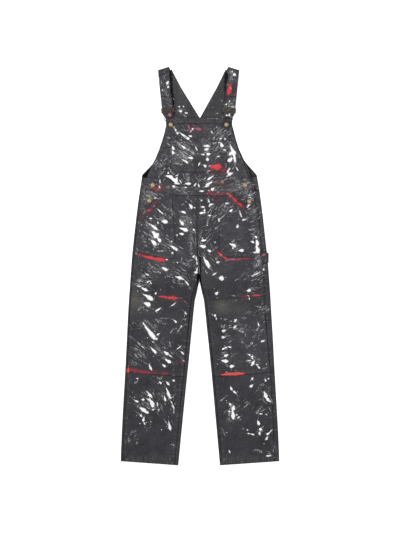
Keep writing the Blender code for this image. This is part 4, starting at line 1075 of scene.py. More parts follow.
        (-72, -178, -30, 24, 4, .4), (-57, -189, -55, 18, 7, .75), (-61, -213, -15, 16, 9, .6),
        (-98, -222, -42, 16, 9, .95), (-70, -229, 0, 14, 10, .4), (-75, -241, 60, 14, 7, .85),
        (-82, -250, 50, 12, 5, .6), (-88, -260, 40, 10, 7, .7), (-114, -261, 55, 24, 6, .7),
        (-268, -228, 45, 10, 7, .6), (-226, -229, 80, 14, 6, .75), (-243, -249, 0, 8, 5, .5),
        (-280, -237, 0, 6, 6, .5), (-197, -269, -53, 72, 20, 1), (-204, -229, -56, 38, 9, .5),
        (-167, -273, 35, 20, 9, .9), (-173, -291, 50, 12, 10, .9), (-141, -210, -5, 24, 7, .5),
        (-146, -231, -28, 30, 5, .5), (-238, -316, -40, 62, 7, .7), (-188, -304, -35, 10, 7, .75),
        (-184, -339, -45, 34, 11, 1), (-134, -349, -35, 24, 14, 1), (-119, -359, -40, 22, 7, .8),
        (-126, -381, -35, 26, 16, 1), (-144, -368, -25, 30, 14, .5), (-143, -399, -35, 16, 11, .95),
        (-119, -315, -78, 28, 6, .65), (-84, -326, 37, 32, 6, .85), (-70, -348, -45, 24, 10, .75),
        (-75, -368, -60, 22, 5, .5), (-198, -406, -68, 26, 10, 1), (-247, -346, -38, 70, 8, .35),
        (-222, -364, -50, 14, 7, .55), (-250, -368, -25, 34, 10, .35), (-234, -378, 0, 10, 7, .55),
        (-254, -389, -33, 40, 5, .5), (-277, -283, 0, 7, 6, .5), (-110, -386, -60, 22, 7, .4),
        (-107, -415, 0, 10, 8, .4), (-105, -437, 0, 8, 8, .5), (-68, -432, 70, 18, 6, .45),
        # knee, right
        (60, -198, 0, 10, 12, 1), (50, -194, -20, 10, 6, .7), (65, -210, -80, 16, 5, .85),
        (33, -192, 0, 8, 8, .35), (107, -190, 0, 10, 8, .35), (235, -163, -12, 24, 6, .65),
        (252, -151, 0, 20, 8, .4), (261, -165, 85, 24, 5, .4), (252, -171, 0, 16, 6, .4),
        (262, -185, -80, 12, 5, .5), (272, -176, 65, 20, 6, .5), (240, -193, 10, 20, 5, .3),
        (190, -187, 0, 22, 12, .45), (103, -213, 5, 18, 8, .65), (121, -219, -35, 16, 7, .65),
        (142, -218, 50, 20, 13, .75), (155, -228, 0, 14, 10, .4), (176, -208, -5, 26, 9, .5),
        (256, -210, 0, 8, 8, .4), (90, -242, -30, 22, 12, .6), (95, -259, 20, 20, 14, .8),
        (117, -243, 0, 8, 8, .6), (140, -242, 40, 22, 10, .75), (138, -246, 0, 10, 5, .95),
        (186, -234, 0, 6, 5, .5), (163, -261, -20, 30, 9, .7), (182, -277, -80, 14, 9, .6),
        (234, -234, -75, 16, 7, .95), (230, -251, 60, 24, 6, .7), (216, -260, 80, 16, 8, .4),
        (216, -283, 20, 20, 10, .5), (93, -285, 10, 18, 14, .8), (110, -279, 5, 34, 9, .45),
        (251, -300, 15, 22, 10, .85), (118, -303, 30, 18, 10, .6), (169, -303, 70, 14, 11, .6),
        (195, -320, 35, 34, 7, .65), (208, -309, 60, 18, 8, .7), (94, -331, 30, 16, 8, .95),
        (104, -326, 10, 16, 9, .75), (119, -324, -20, 20, 7, .85), (91, -348, 15, 16, 8, .4),
        (104, -358, 20, 16, 14, 1), (137, -353, 20, 44, 6, .45), (90, -366, 0, 18, 14, .45),
        (101, -380, -5, 26, 17, 1), (107, -397, -40, 20, 10, .5), (127, -401, 10, 18, 15, 1),
        (125, -413, -80, 12, 6, .5), (197, -355, -20, 18, 9, .9), (209, -362, 0, 14, 12, .9),
        (210, -369, 0, 7, 6, .95), (196, -378, 0, 20, 6, .85), (200, -384, 0, 16, 8, .6),
        (212, -388, 60, 20, 15, 1), (207, -397, 20, 12, 6, .9), (228, -395, -20, 14, 10, .8),
        (235, -405, -50, 18, 10, .85), (259, -408, 20, 24, 11, .5), (225, -370, 0, 12, 12, .35),
        # shin, left
        (-250, -450, 0, 10, 8, .8), (-251, -460, 80, 14, 6, .6), (-257, -466, 25, 16, 8, .65),
        (-166, -447, -20, 26, 6, .6), (-154, -446, 70, 12, 6, .65), (-162, -454, 0, 12, 6, .6),
        (-158, -467, -40, 14, 9, .95), (-128, -470, -50, 18, 11, 1), (-105, -458, -20, 13, 11, .85),
        (-140, -470, -80, 14, 8, .35), (-101, -485, -88, 40, 5, .45), (-126, -510, -68, 44, 11, .95),
        (-117, -527, 0, 12, 8, .9), (-140, -532, -80, 22, 10, .95), (-110, -523, 0, 14, 8, .6),
        (-104, -516, 0, 12, 10, .5), (-201, -515, -50, 34, 11, .95), (-217, -493, -55, 34, 5, .35),
        (-182, -510, -70, 22, 7, .4), (-192, -549, -65, 36, 20, 1), (-205, -535, -35, 24, 10, .75),
        (-227, -534, 0, 12, 10, .95), (-215, -550, -40, 30, 12, .45), (-206, -554, 0, 10, 7, .6),
        (-253, -541, -25, 18, 9, .95), (-271, -528, -38, 26, 4, .55), (-287, -545, 0, 8, 7, .45),
        (-275, -552, -40, 30, 8, .3), (-226, -575, -35, 30, 18, 1), (-213, -585, -20, 18, 13, .95),
        (-246, -562, -35, 26, 12, .55), (-207, -567, -25, 16, 9, .65), (-187, -574, 20, 16, 9, .75),
        (-180, -568, 70, 12, 7, .6), (-170, -553, -85, 24, 8, .75), (-165, -574, 0, 10, 7, .8),
        (-158, -551, 0, 6, 8, .4), (-150, -554, 0, 8, 4, .35), (-236, -598, -40, 18, 11, .9),
        (-249, -587, -40, 22, 7, .55), (-226, -614, 75, 22, 10, .95), (-222, -629, -60, 18, 8, .75),
        (-114, -545, -60, 14, 7, .75), (-107, -562, -70, 26, 8, .85), (-105, -580, -88, 26, 8, .7),
        (-133, -627, -50, 34, 7, .65), (-121, -642, -80, 36, 12, 1), (-291, -609, 0, 10, 5, .5),
        (-197, -623, 0, 9, 7, .7), (-84, -595, 0, 8, 8, .4),
        # shin, right
        (209, -451, 70, 15, 13, .75), (205, -480, 40, 20, 14, .85), (262, -457, -80, 14, 10, .8),
        (274, -451, 0, 9, 10, .8), (250, -476, 0, 20, 14, .55), (229, -497, 40, 16, 7, .6),
        (125, -490, -70, 16, 11, 1), (138, -504, -42, 26, 10, .85), (150, -503, 0, 8, 8, .5),
        (97, -528, 40, 40, 5, .5), (86, -536, 40, 14, 8, .65), (121, -553, -50, 18, 13, .85),
        (133, -569, 75, 22, 17, 1), (117, -581, 0, 14, 10, .9), (132, -597, -80, 34, 19, 1),
        (117, -592, 80, 18, 10, .7), (147, -595, 0, 9, 9, .85), (155, -605, 30, 18, 8, .8),
        (161, -613, 0, 6, 7, .7), (116, -614, -15, 12, 6, .6), (155, -558, 30, 20, 10, .35),
        (183, -559, 40, 28, 7, .6), (198, -545, 40, 20, 6, .35), (262, -517, -70, 26, 18, 1),
        (270, -532, -50, 28, 13, 1), (280, -541, -30, 14, 6, .8), (285, -540, -50, 24, 7, .5),
        (272, -503, 50, 20, 10, .4), (282, -485, -88, 30, 5, .4), (231, -583, 55, 22, 10, .65),
        (243, -567, 50, 18, 6, .6), (243, -591, 5, 16, 8, .9), (266, -594, 0, 10, 5, .8),
        (287, -590, 80, 14, 6, .35), (234, -628, -75, 20, 14, .95),
        # hems
        (-198, -640, -88, 24, 9, .4), (-212, -656, -70, 24, 9, .35), (-271, -665, 50, 38, 9, .45),
        (-286, -694, 85, 18, 7, .55), (-298, -704, -60, 10, 6, .55), (-252, -708, 80, 13, 9, .65),
        (-113, -713, 0, 10, 5, .7), (-105, -717, -30, 10, 7, .7), (-97, -722, -30, 10, 6, .4),
        (242, -653, 0, 14, 15, .95), (238, -669, -80, 18, 13, .85), (173, -650, 0, 10, 6, .55),
        (190, -656, -35, 12, 7, .75), (194, -670, -10, 12, 7, .9), (210, -673, -12, 18, 7, .95),
        (96, -667, -68, 28, 8, .5), (272, -671, 40, 16, 10, 1), (283, -660, 45, 22, 6, .8),
        (289, -645, 80, 20, 4, .3), (267, -689, 60, 22, 12, .75), (118, -742, -70, 16, 8, .8),
        (226, -736, -5, 16, 8, .55), (241, -742, -30, 20, 10, .6), (274, -759, 5, 20, 8, 1),
        (279, -750, -60, 16, 7, .7), (265, -740, 0, 8, 8, .4), (298, -722, -85, 14, 6, .6),
        (294, -737, 80, 12, 6, .7), (298, -766, 0, 8, 8, .5),
        # straps and the inside of the back
        (-142, 776, 0, 6, 6, .5), (-130, 732, 60, 14, 11, 1), (-127, 716, -80, 14, 9, .9),
        (-153, 757, 0, 8, 6, .4), (-151, 728, 85, 16, 7, .4), (-150, 703, 85, 9, 6, .8),
        (-136, 692, 0, 12, 6, .45), (-149, 685, 0, 10, 8, .4), (-106, 668, 0, 8, 6, .5),
        (-115, 640, 0, 8, 7, .55), (-83, 637, 0, 10, 8, .75), (-66, 638, 0, 8, 7, .8),
        (-77, 619, -15, 13, 9, 1), (-55, 612, -10, 15, 8, .8), (-60, 600, -35, 18, 7, .65),
        (138, 765, 60, 14, 12, 1), (129, 777, 85, 10, 6, .9), (119, 775, 0, 12, 14, .5),
        (127, 755, -70, 24, 7, .5), (113, 725, 0, 5, 6, .7), (118, 658, 60, 10, 6, .9),
        (105, 646, 0, 8, 6, .9), (90, 661, -15, 10, 8, .6), (128, 650, 0, 10, 8, .6),
        (115, 638, 0, 14, 8, .55), (107, 602, 0, 10, 8, .85), (117, 603, 80, 14, 10, .8),
        (124, 595, 0, 10, 8, .7), (90, 595, 80, 10, 6, .5), (70, 610, 0, 12, 7, .6),
        (50, 634, 0, 7, 6, .45),
    ],
    "pale": [
        (50, 590, 0, 60, 4, .5), (150, 287, 0, 24, 10, .4), (-296, -770, 85, 14, 4, .35),
        (-283, -772, 80, 14, 4, .35), (-240, -771, 10, 26, 9, .3), (-190, -770, 85, 14, 4, .4),
        (-178, -771, 80, 14, 4, .35), (-150, -771, 85, 15, 5, .4), (-120, -772, 80, 16, 6, .5),
        (-103, -774, 85, 12, 4, .3), (99, -772, 85, 13, 4, .35), (118, -771, 80, 14, 5, .4),
        (130, -771, 85, 13, 4, .35), (154, -771, 80, 16, 6, .5), (166, -771, 85, 13, 5, .4),
        (200, -771, 80, 14, 5, .4), (217, -770, 85, 13, 4, .35), (238, -770, 80, 14, 5, .4),
        (250, -770, 85, 13, 4, .35), (131, 636, 0, 18, 10, .8),
    ],
    "rose": [
        (-121, 604, 85, 20, 17, .85), (255, 45, 30, 22, 10, .8), (128, 26, -4, 40, 7, .8),
        (-8, 548, -12, 36, 11, .8), (-45, 556, -70, 18, 9, .75), (58, 279, 20, 20, 8, .6),
    ],
    "pink": [
        (-36, 539, 60, 16, 10, .9), (38, 400, 25, 14, 7, .8), (34, 379, 25, 20, 8, .8),
        (35, 301, 0, 12, 8, .8), (-225, 210, 55, 22, 8, .5), (-222, 217, 50, 20, 8, .7),
        (150, 28, 5, 40, 8, .6), (193, -119, -20, 14, 7, .85), (226, -115, 3, 44, 6, .5),
        (-59, -144, -48, 34, 5, .65), (-83, -129, 0, 28, 6, .6), (-66, -379, -30, 14, 9, .8),
        (-286, -400, 90, 20, 6, .5), (135, -426, 3, 80, 5, .6), (123, 711, 0, 9, 8, .9),
        (86, 45, 0, 9, 6, .8), (120, 736, 80, 16, 12, .4),
    ],
    "red": [
        (-172, 308, -8, 46, 16, .68), (-203, 222, 10, 26, 11, .85), (138, 265, -45, 34, 15, .8),
        (160, 246, -38, 34, 13, .85), (80, 48, -45, 28, 14, .9), (100, 33, -35, 30, 11, .85),
        (125, 26, -5, 30, 9, .7), (174, -123, 0, 32, 12, .7), (226, -118, 3, 48, 10, .85),
        (-205, 35, -10, 50, 13, .95), (-162, 26, -5, 52, 18, 1), (-148, -123, -3, 50, 12, .8),
        (-112, -128, -3, 48, 17, .95), (-252, -420, -8, 60, 20, .6), (-184, -424, -15, 26, 18, .65),
        (118, 704, 80, 46, 18, .95), (66, 396, 2, 46, 25, .95),
    ],
    "orange": [
        (117, 284, -38, 34, 14, .9), (132, 268, -45, 24, 8, .7), (83, 44, -45, 13, 9, .95),
        (-160, 312, -10, 30, 8, .6), (-120, -128, -3, 30, 8, .55), (46, 390, 20, 22, 8, .5),
    ],
    "scarlet": [
        (62, 398, 4, 26, 13, .95), (85, 43, -40, 16, 8, .9), (-288, -418, 80, 22, 15, .95),
        (135, -432, 2, 100, 14, .95),
    ],
    "crimson": [
        (96, 381, 30, 28, 16, .8), (70, 262, 20, 24, 12, .7), (-148, 316, -10, 40, 14, .7),
        (155, 26, 5, 54, 9, .9), (120, 27, -8, 44, 9, .7), (172, 236, -35, 22, 12, .7),
        (128, 272, -42, 66, 20, .5), (92, 372, 20, 22, 9, .6), (44, 386, 30, 18, 10, .5),
        (-180, 250, 40, 30, 12, .68), (-192, 238, 50, 34, 12, .7), (-231, 195, 40, 24, 11, .7),
        (-222, 206, 45, 26, 9, .6), (178, 236, -20, 18, 11, .7), (185, 30, 5, 46, 9, .8),
        (-240, 45, -5, 36, 14, .85), (70, 58, -50, 20, 12, .7), (-75, -136, -14, 34, 9, .68),
        (-85, -384, 0, 24, 13, .7), (-88, -397, -40, 14, 6, .4), (-222, -425, -5, 60, 15, .85),
        (-140, -430, 0, 36, 15, .75), (-138, -438, 0, 24, 5, .6), (-268, -415, -5, 44, 17, .8),
        (-160, -436, 0, 30, 8, .5), (112, 675, 80, 20, 10, .7), (-20, 550, -8, 36, 14, .72),
        (12, 547, -10, 30, 12, .6), (108, 690, 85, 26, 8, .6), (112, 728, 80, 20, 12, .6),
        (66, 386, 8, 56, 26, .5),
    ],
    "dusk": [
        (15, 543, -60, 14, 7, .5), (25, 530, -70, 14, 4, .4), (45, 290, -10, 40, 18, .95),
        (80, 289, 10, 36, 16, .95), (30, 312, 40, 22, 10, .6), (92, 276, -30, 26, 10, .7),
        (52, 272, 20, 24, 8, .6),
    ],
    "brick": [
        (78, 331, -5, 66, 12, .8), (75, 373, -10, 44, 9, .6), (-215, 206, -5, 22, 8, .6),
        (142, 250, -42, 60, 9, .6), (-180, 300, -8, 40, 10, .5), (-135, -116, 0, 60, 8, .5),
        (-105, -142, -5, 50, 8, .5), (60, 345, 10, 30, 8, .5), (104, 318, -20, 24, 8, .5),
        (-130, 322, -8, 30, 8, .5),
    ],
    "blue": [
        (-211, 321, 0, 14, 16, .4), (-218, 245, 0, 20, 16, .35), (154, -529, -40, 20, 8, .35),
        (163, -408, 15, 30, 12, .3), (215, -100, 0, 16, 10, .3),
    ],
}
# Fields of fine dry bristle marks: middle, half sizes, direction, number
STREAKS = [
    (-82, 486, 46, 34, -40, 50), (-70, 440, 50, 34, -35, 60), (-30, 470, 20, 30, -55, 22),
    (28, 455, 18, 46, 15, 26), (85, 490, 34, 36, 50, 36), (130, 450, 20, 44, -75, 40),
    (78, 532, 46, 14, 30, 26), (-60, 548, 60, 14, -30, 22), (-150, 410, 28, 40, 55, 30),
    (40, 372, 20, 30, 45, 26), (70, 345, 60, 14, 10, 36), (-60, 345, 70, 26, -60, 40),
    (120, 372, 20, 24, 60, 18), (-190, 318, 30, 14, -20, 30), (-200, 285, 26, 16, -30, 40),
    (185, 325, 34, 16, 10, 50), (195, 285, 24, 18, 40, 40), (60, 300, 60, 18, 15, 40),
    (-60, 300, 60, 14, -10, 24), (-190, 150, 40, 34, -38, 70), (-190, 95, 40, 26, -38, 46),
    (-140, 200, 36, 30, -40, 36), (-120, 85, 40, 22, -35, 36), (-55, 175, 26, 50, -35, 60),
    (-35, 95, 18, 40, -70, 30), (35, 215, 30, 40, 60, 40), (30, 110, 26, 50, 50, 34),
    (80, 190, 26, 40, 45, 26), (210, 215, 26, 24, 40, 44), (216, 130, 18, 40, 20, 30),
    (140, 75, 26, 26, 40, 26), (110, 232, 30, 20, 40, 22), (-170, -15, 60, 26, -25, 56),
    (-225, -60, 34, 36, -20, 50), (-80, -50, 40, 34, -30, 60), (-50, 10, 30, 24, -25, 30),
    (235, 15, 20, 34, 40, 40), (215, -40, 40, 26, 25, 40), (220, -90, 30, 16, 20, 20),
    (40, 20, 30, 50, -60, 30), (-215, -160, 30, 26, -30, 26), (-190, -240, 40, 36, -52, 56),
    (-240, -350, 34, 40, -37, 70), (-165, -335, 40, 34, -42, 50), (-100, -350, 30, 40, -40, 36),
    (-90, -240, 26, 40, 50, 26), (-150, -215, 26, 16, -15, 18), (250, -175, 22, 22, 30, 40),
    (140, -240, 30, 26, 20, 26), (100, -275, 20, 20, 10, 22), (190, -315, 36, 16, 45, 22),
    (215, -385, 24, 24, -30, 26), (105, -365, 24, 34, 10, 30), (235, -255, 14, 24, 50, 16),
    (-210, -530, 44, 36, -45, 70), (-140, -510, 24, 40, -70, 40), (-110, -565, 14, 34, -80, 22),
    (-165, -560, 16, 20, -80, 20), (-125, -640, 16, 20, -60, 14), (-270, -670, 20, 20, 50, 14),
    (130, -580, 26, 34, 50, 40), (190, -555, 26, 20, 40, 20), (268, -530, 18, 34, -55, 30),
    (240, -585, 24, 16, 40, 18), (245, -660, 24, 20, 20, 20), (-75, 618, 26, 20, -20, 20),
    (112, 640, 20, 20, 10, 34), (-140, 700, 16, 50, 80, 26), (125, 745, 14, 34, -75, 24),
]
STREAK_LENGTH = (7.0, 26.0)
STREAK_WIDTH = (1.5, 3.6)
STREAK_TONE = (0.14, 0.42)
STREAK_COVER = (0.44, 0.84)
STREAK_RISE = 0.05
STREAK_SPREAD, STREAK_TURN = 0.6, 9.0           # share of the field, degrees
BRIGHT_SHARE, BRIGHT_TONE = 0.22, (0.5, 0.9)    # a few of them are nearly white
STREAK_BLUE = 1.02
BRISTLE = 2.1               # width of one bristle's line
PAINT_RISE = 0.42           # thickness of a thick stroke
# A stroke that covers more than this has a smear below it, a core, a full core, drops
SMEAR_FROM, CORE_FROM, FULL_FROM, DROPS_FROM = 0.45, 0.72, 0.93, 0.5
CORE_SHARES = (0.62, 0.86)  # a core's share of its stroke, and a full core's
SMEAR_BEHIND = (3.0, 0.08)  # a smear's middle lies this far back, and this share of the length
SMEAR_LENGTH = (1.35, 8.0)  # its length over the stroke's, and what is added
SMEAR_COVER, SMEAR_GAP, SMEAR_TONES = 0.42, 2.4, (0.5, 1.1)
SMEAR_DIM = 0.5             # its tone over the stroke's
SMEAR_WIDTH, RED_SMEAR_WIDTH = 1.15, 1.5        # its width over the stroke's
TONES, RED_TONES = (0.8, 1.05), (0.5, 1.08)     # of a stroke's lines
THIN_TONE, THIN_COVER = (0.55, 0.45), (0.2, 0.9)    # thin paint is darker
ROUND_BELOW = 1.25          # the core of a stroke shorter than this has no tail
HEAD_ROUND, HEAD_LEAST, HEAD_UNEVEN = 2.4, 0.1, (0.75, 1.1)
TAIL_POINT, TAIL_REACH, TAIL_UNEVEN = 1.2, 1.15, (0.6, 1.1)     # reach in half lengths
# Bristle lines: what is there at no cover, and what full cover adds
LANE_DENSITY, LANE_STRENGTH, LANE_WIDE = (0.75, 0.6), (0.30, 0.75), (0.5, 0.8)
LANE_PLACE, LANE_WIDTHS, LANE_RISE = (0.15, 0.85), (0.65, 1.3), (0.25, 0.8)
LANE_CLOSING, LANE_CLOSED = 0.45, 0.4           # they close in towards the tail
LANE_SWAY = 0.09
WHOLE_FROM, WHOLE_BELOW, HALVES_FROM = 0.85, 12, 0.5    # cover, length, cover of whole lines
DASH_KEPT, DASH_SHARE, DASH_LONGEST = 0.35, (0.55, 0.4), 1.05
LEG_Y = -100.0              # below this the marks are narrower and fewer
LEG_SHARE = 0.87
LEG_STREAKS = 0.62
PAINT_FLOAT = 0.06          # paint starts this far above the cloth
DASH_STEP = 6.5             # length of a line's pieces
DASH_WOBBLE, DASH_WAVE, DASH_BOW = 0.25, 2.2, 0.05      # its bends, over width and length
DASH_TAPER, DASH_WIDTHS, DASH_END = 2.6, (0.7, 1.15), 0.9
THINNEST = 0.12             # half width of a line at its ends
BLOB_SPOKES = (6, 0.45)     # corners of the smallest, and what each millimetre adds
BLOB_PHASE = 6.3
BLOB_TAIL = (0.35, 0.4)     # how much longer and narrower its tail is
BLOB_UNEVEN = (0.75, 1.1)
BLOB_RINGS = (1.07, 0.90)   # share of a blob at its thin rim, and where it is thick
BLOB_STEP = 8.0             # a larger blob has a ring more for each of these
BLOB_WAVES = (2, 3, 5, 7, 11)                   # waves round its ragged outline
BLOB_RAGGED = (0.03, 0.12)
RIM_STRENGTH, THICK_STRENGTH = 0.95, 1.3        # cover at a blob's rim and inside it
DROP_SPACING, DROP_RISE = 15.0, 0.2
DROP_ALONG, DROP_ACROSS, DROP_BESIDE = 0.75, 0.9, 4.0   # how far drops fly
DROP_LEAST, DROP_SIZES, DROP_LONG = 0.8, 0.9, (1.0, 1.8)
PAINT_SEED = 21
BRIGHTEST = 0.96


def beside(x, y, turn, along, across):
    """The place that lies along and across a direction from x, y."""
    return (x + along * math.cos(turn) - across * math.sin(turn),
            y + along * math.sin(turn) + across * math.cos(turn))


class PaintMesh:
    """Gathers strokes of paint into one mesh that carries their colours."""

    def __init__(self, surface, seed):
        self.surface = surface
        self.rng = random.Random(seed)
        self.points, self.faces, self.colours = [], [], []

    def corner(self, x, y, rise, colour, strength):
        """One point on the cloth, or None beside it."""
        z = height_at(self.surface, x, y)
        if z is None:
            return None
        self.points.append((x, y, z + PAINT_FLOAT + rise))
        self.colours.append((*colour, strength))
        return len(self.points) - 1

    def face(self, *corners):
        """A face between corners that all lie on the cloth."""
        if None not in corners:
            self.faces.append(corners)

    def dash(self, x, y, turn, length, width, rise, colour, strength, base=0.0):
        """A tapered line of paint, thickest along its middle."""
        stations = max(3, int(length / DASH_STEP) + 2)
        rows = []
        wobble = self.rng.uniform(-DASH_WOBBLE, DASH_WOBBLE) * width
        bow = self.rng.uniform(-DASH_BOW, DASH_BOW) * length
        for i in range(stations):
            part = -1 + 2 * i / (stations - 1)
            along = part * length / 2
            half = width / 2 * math.sqrt(max(0.0, 1 - abs(part) ** DASH_TAPER))
            half = max(half * self.rng.uniform(*DASH_WIDTHS), THINNEST)
            sway = wobble * math.sin(part * DASH_WAVE) + bow * (1 - part * part)
            thick = strength * (1.0 if abs(part) < DASH_END else 0.5)
            rows.append([
                self.corner(*beside(x, y, turn, along, across + sway), lift, colour, cover)
                for across, lift, cover in ((-half, base, 0.0), (0.0, base + rise, thick),
                                            (half, base, 0.0))])
        for low, high in zip(rows, rows[1:]):
            for k in range(len(low) - 1):
                self.face(low[k], high[k], high[k + 1], low[k + 1])

    def blob(self, x, y, turn, length, width, rise, colour, tail=0.0, base=0.0):
        """A ragged patch of thick paint, narrower towards its tail."""
        spokes = int(BLOB_SPOKES[0] + (length + width) * BLOB_SPOKES[1])
        phases = [(self.rng.uniform(0, BLOB_PHASE), k, self.rng.uniform(*BLOB_RAGGED))
                  for k in BLOB_WAVES]
        longer, narrower = BLOB_TAIL
        rings = []
        counts = int(max(length, width) / BLOB_STEP)
        shares = list(zip(BLOB_RINGS, (0.0, RIM_STRENGTH)))
        shares += [(BLOB_RINGS[1] * (1 - i / (counts + 1)), THICK_STRENGTH)
                   for i in range(1, counts + 1)]
        for share, strength in shares:
            ring = []
            for s in range(spokes):
                angle = 2 * math.pi * s / spokes
                ragged = 1 + sum(a * math.sin(k * angle + p) for p, k, a in phases)
                behind = max(0.0, -math.cos(angle)) * tail
                u = length / 2 * math.cos(angle) * ragged * share * (1 + longer * behind)
                v = width / 2 * math.sin(angle) * ragged * share * (1 - narrower * behind)
                lift = base
                if strength > 0:
                    lift += rise * self.rng.uniform(*BLOB_UNEVEN)
                ring.append(self.corner(*beside(x, y, turn, u, v), lift, colour, strength))
            rings.append(ring)
        middle = self.corner(x, y, base + rise, colour, THICK_STRENGTH)
        for outer, inner in zip(rings, rings[1:]):
            for s in range(spokes):
                t = (s + 1) % spokes
                self.face(outer[s], outer[t], inner[t], inner[s])
        for s in range(spokes):
            self.face(rings[-1][s], rings[-1][(s + 1) % spokes], middle)

    def lanes(self, x, y, turn, length, width, cover, gap, colour, tones, base):
        """Bristle lines side by side, broken up where they cover badly."""
        rng = self.rng
        count = max(2, round(width / gap))
        strength = LANE_STRENGTH[0] + LANE_STRENGTH[1] * cover
        wide = LANE_WIDE[0] + LANE_WIDE[1] * cover
        shortest = DASH_SHARE[0] + DASH_SHARE[1] * cover
        dashes = 3 - (cover > HALVES_FROM)
        if cover > WHOLE_FROM or length < WHOLE_BELOW:
            dashes = 1
        for lane in range(count):
            off = -1 + 2 * (lane + rng.uniform(*LANE_PLACE)) / count
            v = off * width / 2
            head = length / 2 * max(HEAD_LEAST, 1 - abs(off) ** HEAD_ROUND) ** 0.5
            head *= rng.uniform(*HEAD_UNEVEN)
            tail = length / 2 * (TAIL_REACH - abs(off) ** TAIL_POINT)
            tail *= rng.uniform(*TAIL_UNEVEN)
            for k in range(dashes):
                if rng.random() > DASH_KEPT + cover:
                    continue
                low = -tail + (head + tail) * k / dashes
                high = -tail + (head + tail) * (k + 1) / dashes
                size = (high - low) * rng.uniform(shortest, DASH_LONGEST)
                u = rng.uniform(low + size / 2, max(high - size / 2, low + size / 2 + 0.01))
                thick = BRISTLE * wide * rng.uniform(*LANE_WIDTHS)
                tone = rng.uniform(*tones)
                closing = off * LANE_CLOSING * min(width / length, LANE_CLOSED)
                self.dash(*beside(x, y, turn, u, v),
                          turn + closing + rng.uniform(-LANE_SWAY, LANE_SWAY), size, thick,
                          PAINT_RISE * rng.uniform(*LANE_RISE) * cover,
                          tuple(min(c * tone, BRIGHTEST) for c in colour), strength, base)

    def stroke(self, x, y, angle, length, width, cover, paint):
        """A brushed stroke: a thin smear below, bristle lines, and a core where it is thick."""
        turn = math.radians(angle)
        if math.sin(turn) > 0.05:
            turn += math.pi
        if y < LEG_Y:
            width *= LEG_SHARE
        colour = PAINTS[paint]
        base = LAYERS.index(paint) * LAYER_RISE
        if paint == "white":
            colour = self.rng.choice(WHITES)
        reds = paint in REDS
        if cover > SMEAR_FROM:
            smear = PAINTS["crimson"] if reds else tuple(c * SMEAR_DIM for c in colour)
            behind = SMEAR_BEHIND[0] + SMEAR_BEHIND[1] * length
            longer, extra = SMEAR_LENGTH
            self.lanes(*beside(x, y, turn, -behind, 0.0), turn, length * longer + extra,
                       width * (RED_SMEAR_WIDTH if reds else SMEAR_WIDTH), SMEAR_COVER,
                       SMEAR_GAP, smear, SMEAR_TONES, base)
        thin = float(THIN_TONE[0] + THIN_TONE[1] * smooth(cover, *THIN_COVER))
        body = tuple(c * thin for c in colour)
        if cover > CORE_FROM:
            core = CORE_SHARES[cover > FULL_FROM]
            self.blob(x, y, turn, length * core, width * core, PAINT_RISE * cover, body,
                      0.0 if length < ROUND_BELOW * width else 1.0, base)
        gap = BRISTLE / (LANE_DENSITY[0] + LANE_DENSITY[1] * cover)
        self.lanes(x, y, turn, length, width, cover, gap, body,
                   RED_TONES if reds else TONES, base)

    def specks(self, x, y, angle, length, width, cover, paint):
        """Small drops thrown round a stroke."""
        rng = self.rng
        turn = math.radians(angle)
        for _ in range(int(cover * (length + width) / DROP_SPACING)):
            u = rng.gauss(0, length * DROP_ALONG)
            v = rng.gauss(0, width * DROP_ACROSS + DROP_BESIDE)
            size = abs(rng.gauss(0, DROP_SIZES)) + DROP_LEAST
            self.blob(*beside(x, y, turn, u, v), turn, size * rng.uniform(*DROP_LONG), size,
                      DROP_RISE, PAINTS[paint], base=LAYERS.index(paint) * LAYER_RISE)

    def field(self, x, y, half_x, half_y, angle, number):
        """Fine dry marks strewn over a place."""
        rng = self.rng
        if y < LEG_Y:
            number *= LEG_STREAKS
        for _ in range(round(number)):
            tone = rng.uniform(*(STREAK_TONE if rng.random() > BRIGHT_SHARE else BRIGHT_TONE))
            self.dash(x + rng.gauss(0, STREAK_SPREAD) * half_x,
                      y + rng.gauss(0, STREAK_SPREAD) * half_y,
                      math.radians(angle + rng.gauss(0, STREAK_TURN)),
                      rng.uniform(*STREAK_LENGTH), rng.uniform(*STREAK_WIDTH), STREAK_RISE,
                      (tone, tone, tone * STREAK_BLUE), rng.uniform(*STREAK_COVER))

    def finish(self, name):
        """The mesh as a piece of the garment."""
        paint = new_mesh(name, self.points, self.faces, paint_material())
        attribute = paint.data.color_attributes.new("paint", "FLOAT_COLOR", "POINT")
        attribute.data.foreach_set("color", [c for colour in self.colours for c in colour])
        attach(paint, "root")


def make_paint(surface):
    """All the paint on the front."""
    paint = PaintMesh(surface, PAINT_SEED)
    for row in STREAKS:
        paint.field(*row)
    for colour, rows in STROKES.items():
        for row in rows:
            paint.stroke(*row, colour)
            if row[-1] >= DROPS_FROM:
                paint.specks(*row, colour)
    paint.finish("dried_paint")


# ---------------------------------------------------------------- metal

METALS = {
    "button": ((0.66, 0.49, 0.29), (0.46, 0.33, 0.20), (0.13, 0.075, 0.052), 0.32, 0.58),
    "slide_left": ((0.150, 0.100, 0.068), (0.070, 0.045, 0.034), (0.018, 0.015, 0.013),
                   0.35, 0.6),
    "slide_right": ((0.150, 0.135, 0.082), (0.064, 0.056, 0.038), (0.018, 0.016, 0.014),
                    0.35, 0.6),
    "hook": ((0.075, 0.055, 0.042), (0.022, 0.018, 0.016), (0.010, 0.009, 0.009), 0.30, 0.55),
}
BUTTON_RIM = (7.2, 8.6)     # a button darkens from here to its rim
BUTTON_GROOVE = (5.9, 6.4, 6.9)


def dress_metal():
    """Worn metal on the CAD's own slides, hooks and buttons."""
    for node in METAL:
        kind = next(k for k in METALS if k in node)
        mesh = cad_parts[node].data
        middle = None
        if kind == "button":
            low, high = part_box(node)
            middle = [(a + b) / 2 / MM for a, b in zip(low, high)]
        mesh.materials.clear()
        mesh.materials.append(metal_material(f"worn_{node}", *METALS[kind], middle))


# ---------------------------------------------------------------- everything

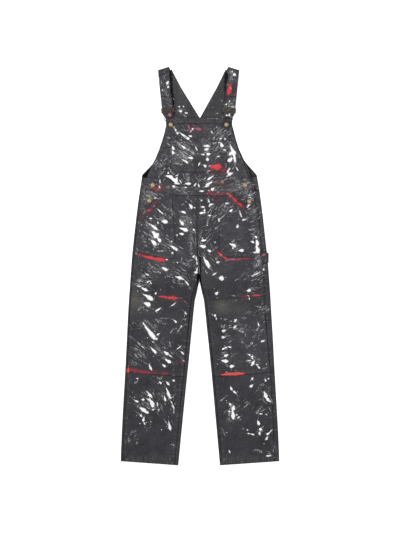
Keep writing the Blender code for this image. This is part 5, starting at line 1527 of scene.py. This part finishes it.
make_stage()
pieces, loops_of = [], {}
for row in CLOTH:
    piece, loops = make_cloth(*row)
    pieces.append(piece)
    loops_of[row[0]] = loops
surface = surface_of(pieces)
make_stitches(loops_of, surface)
make_paint(surface)
dress_metal()
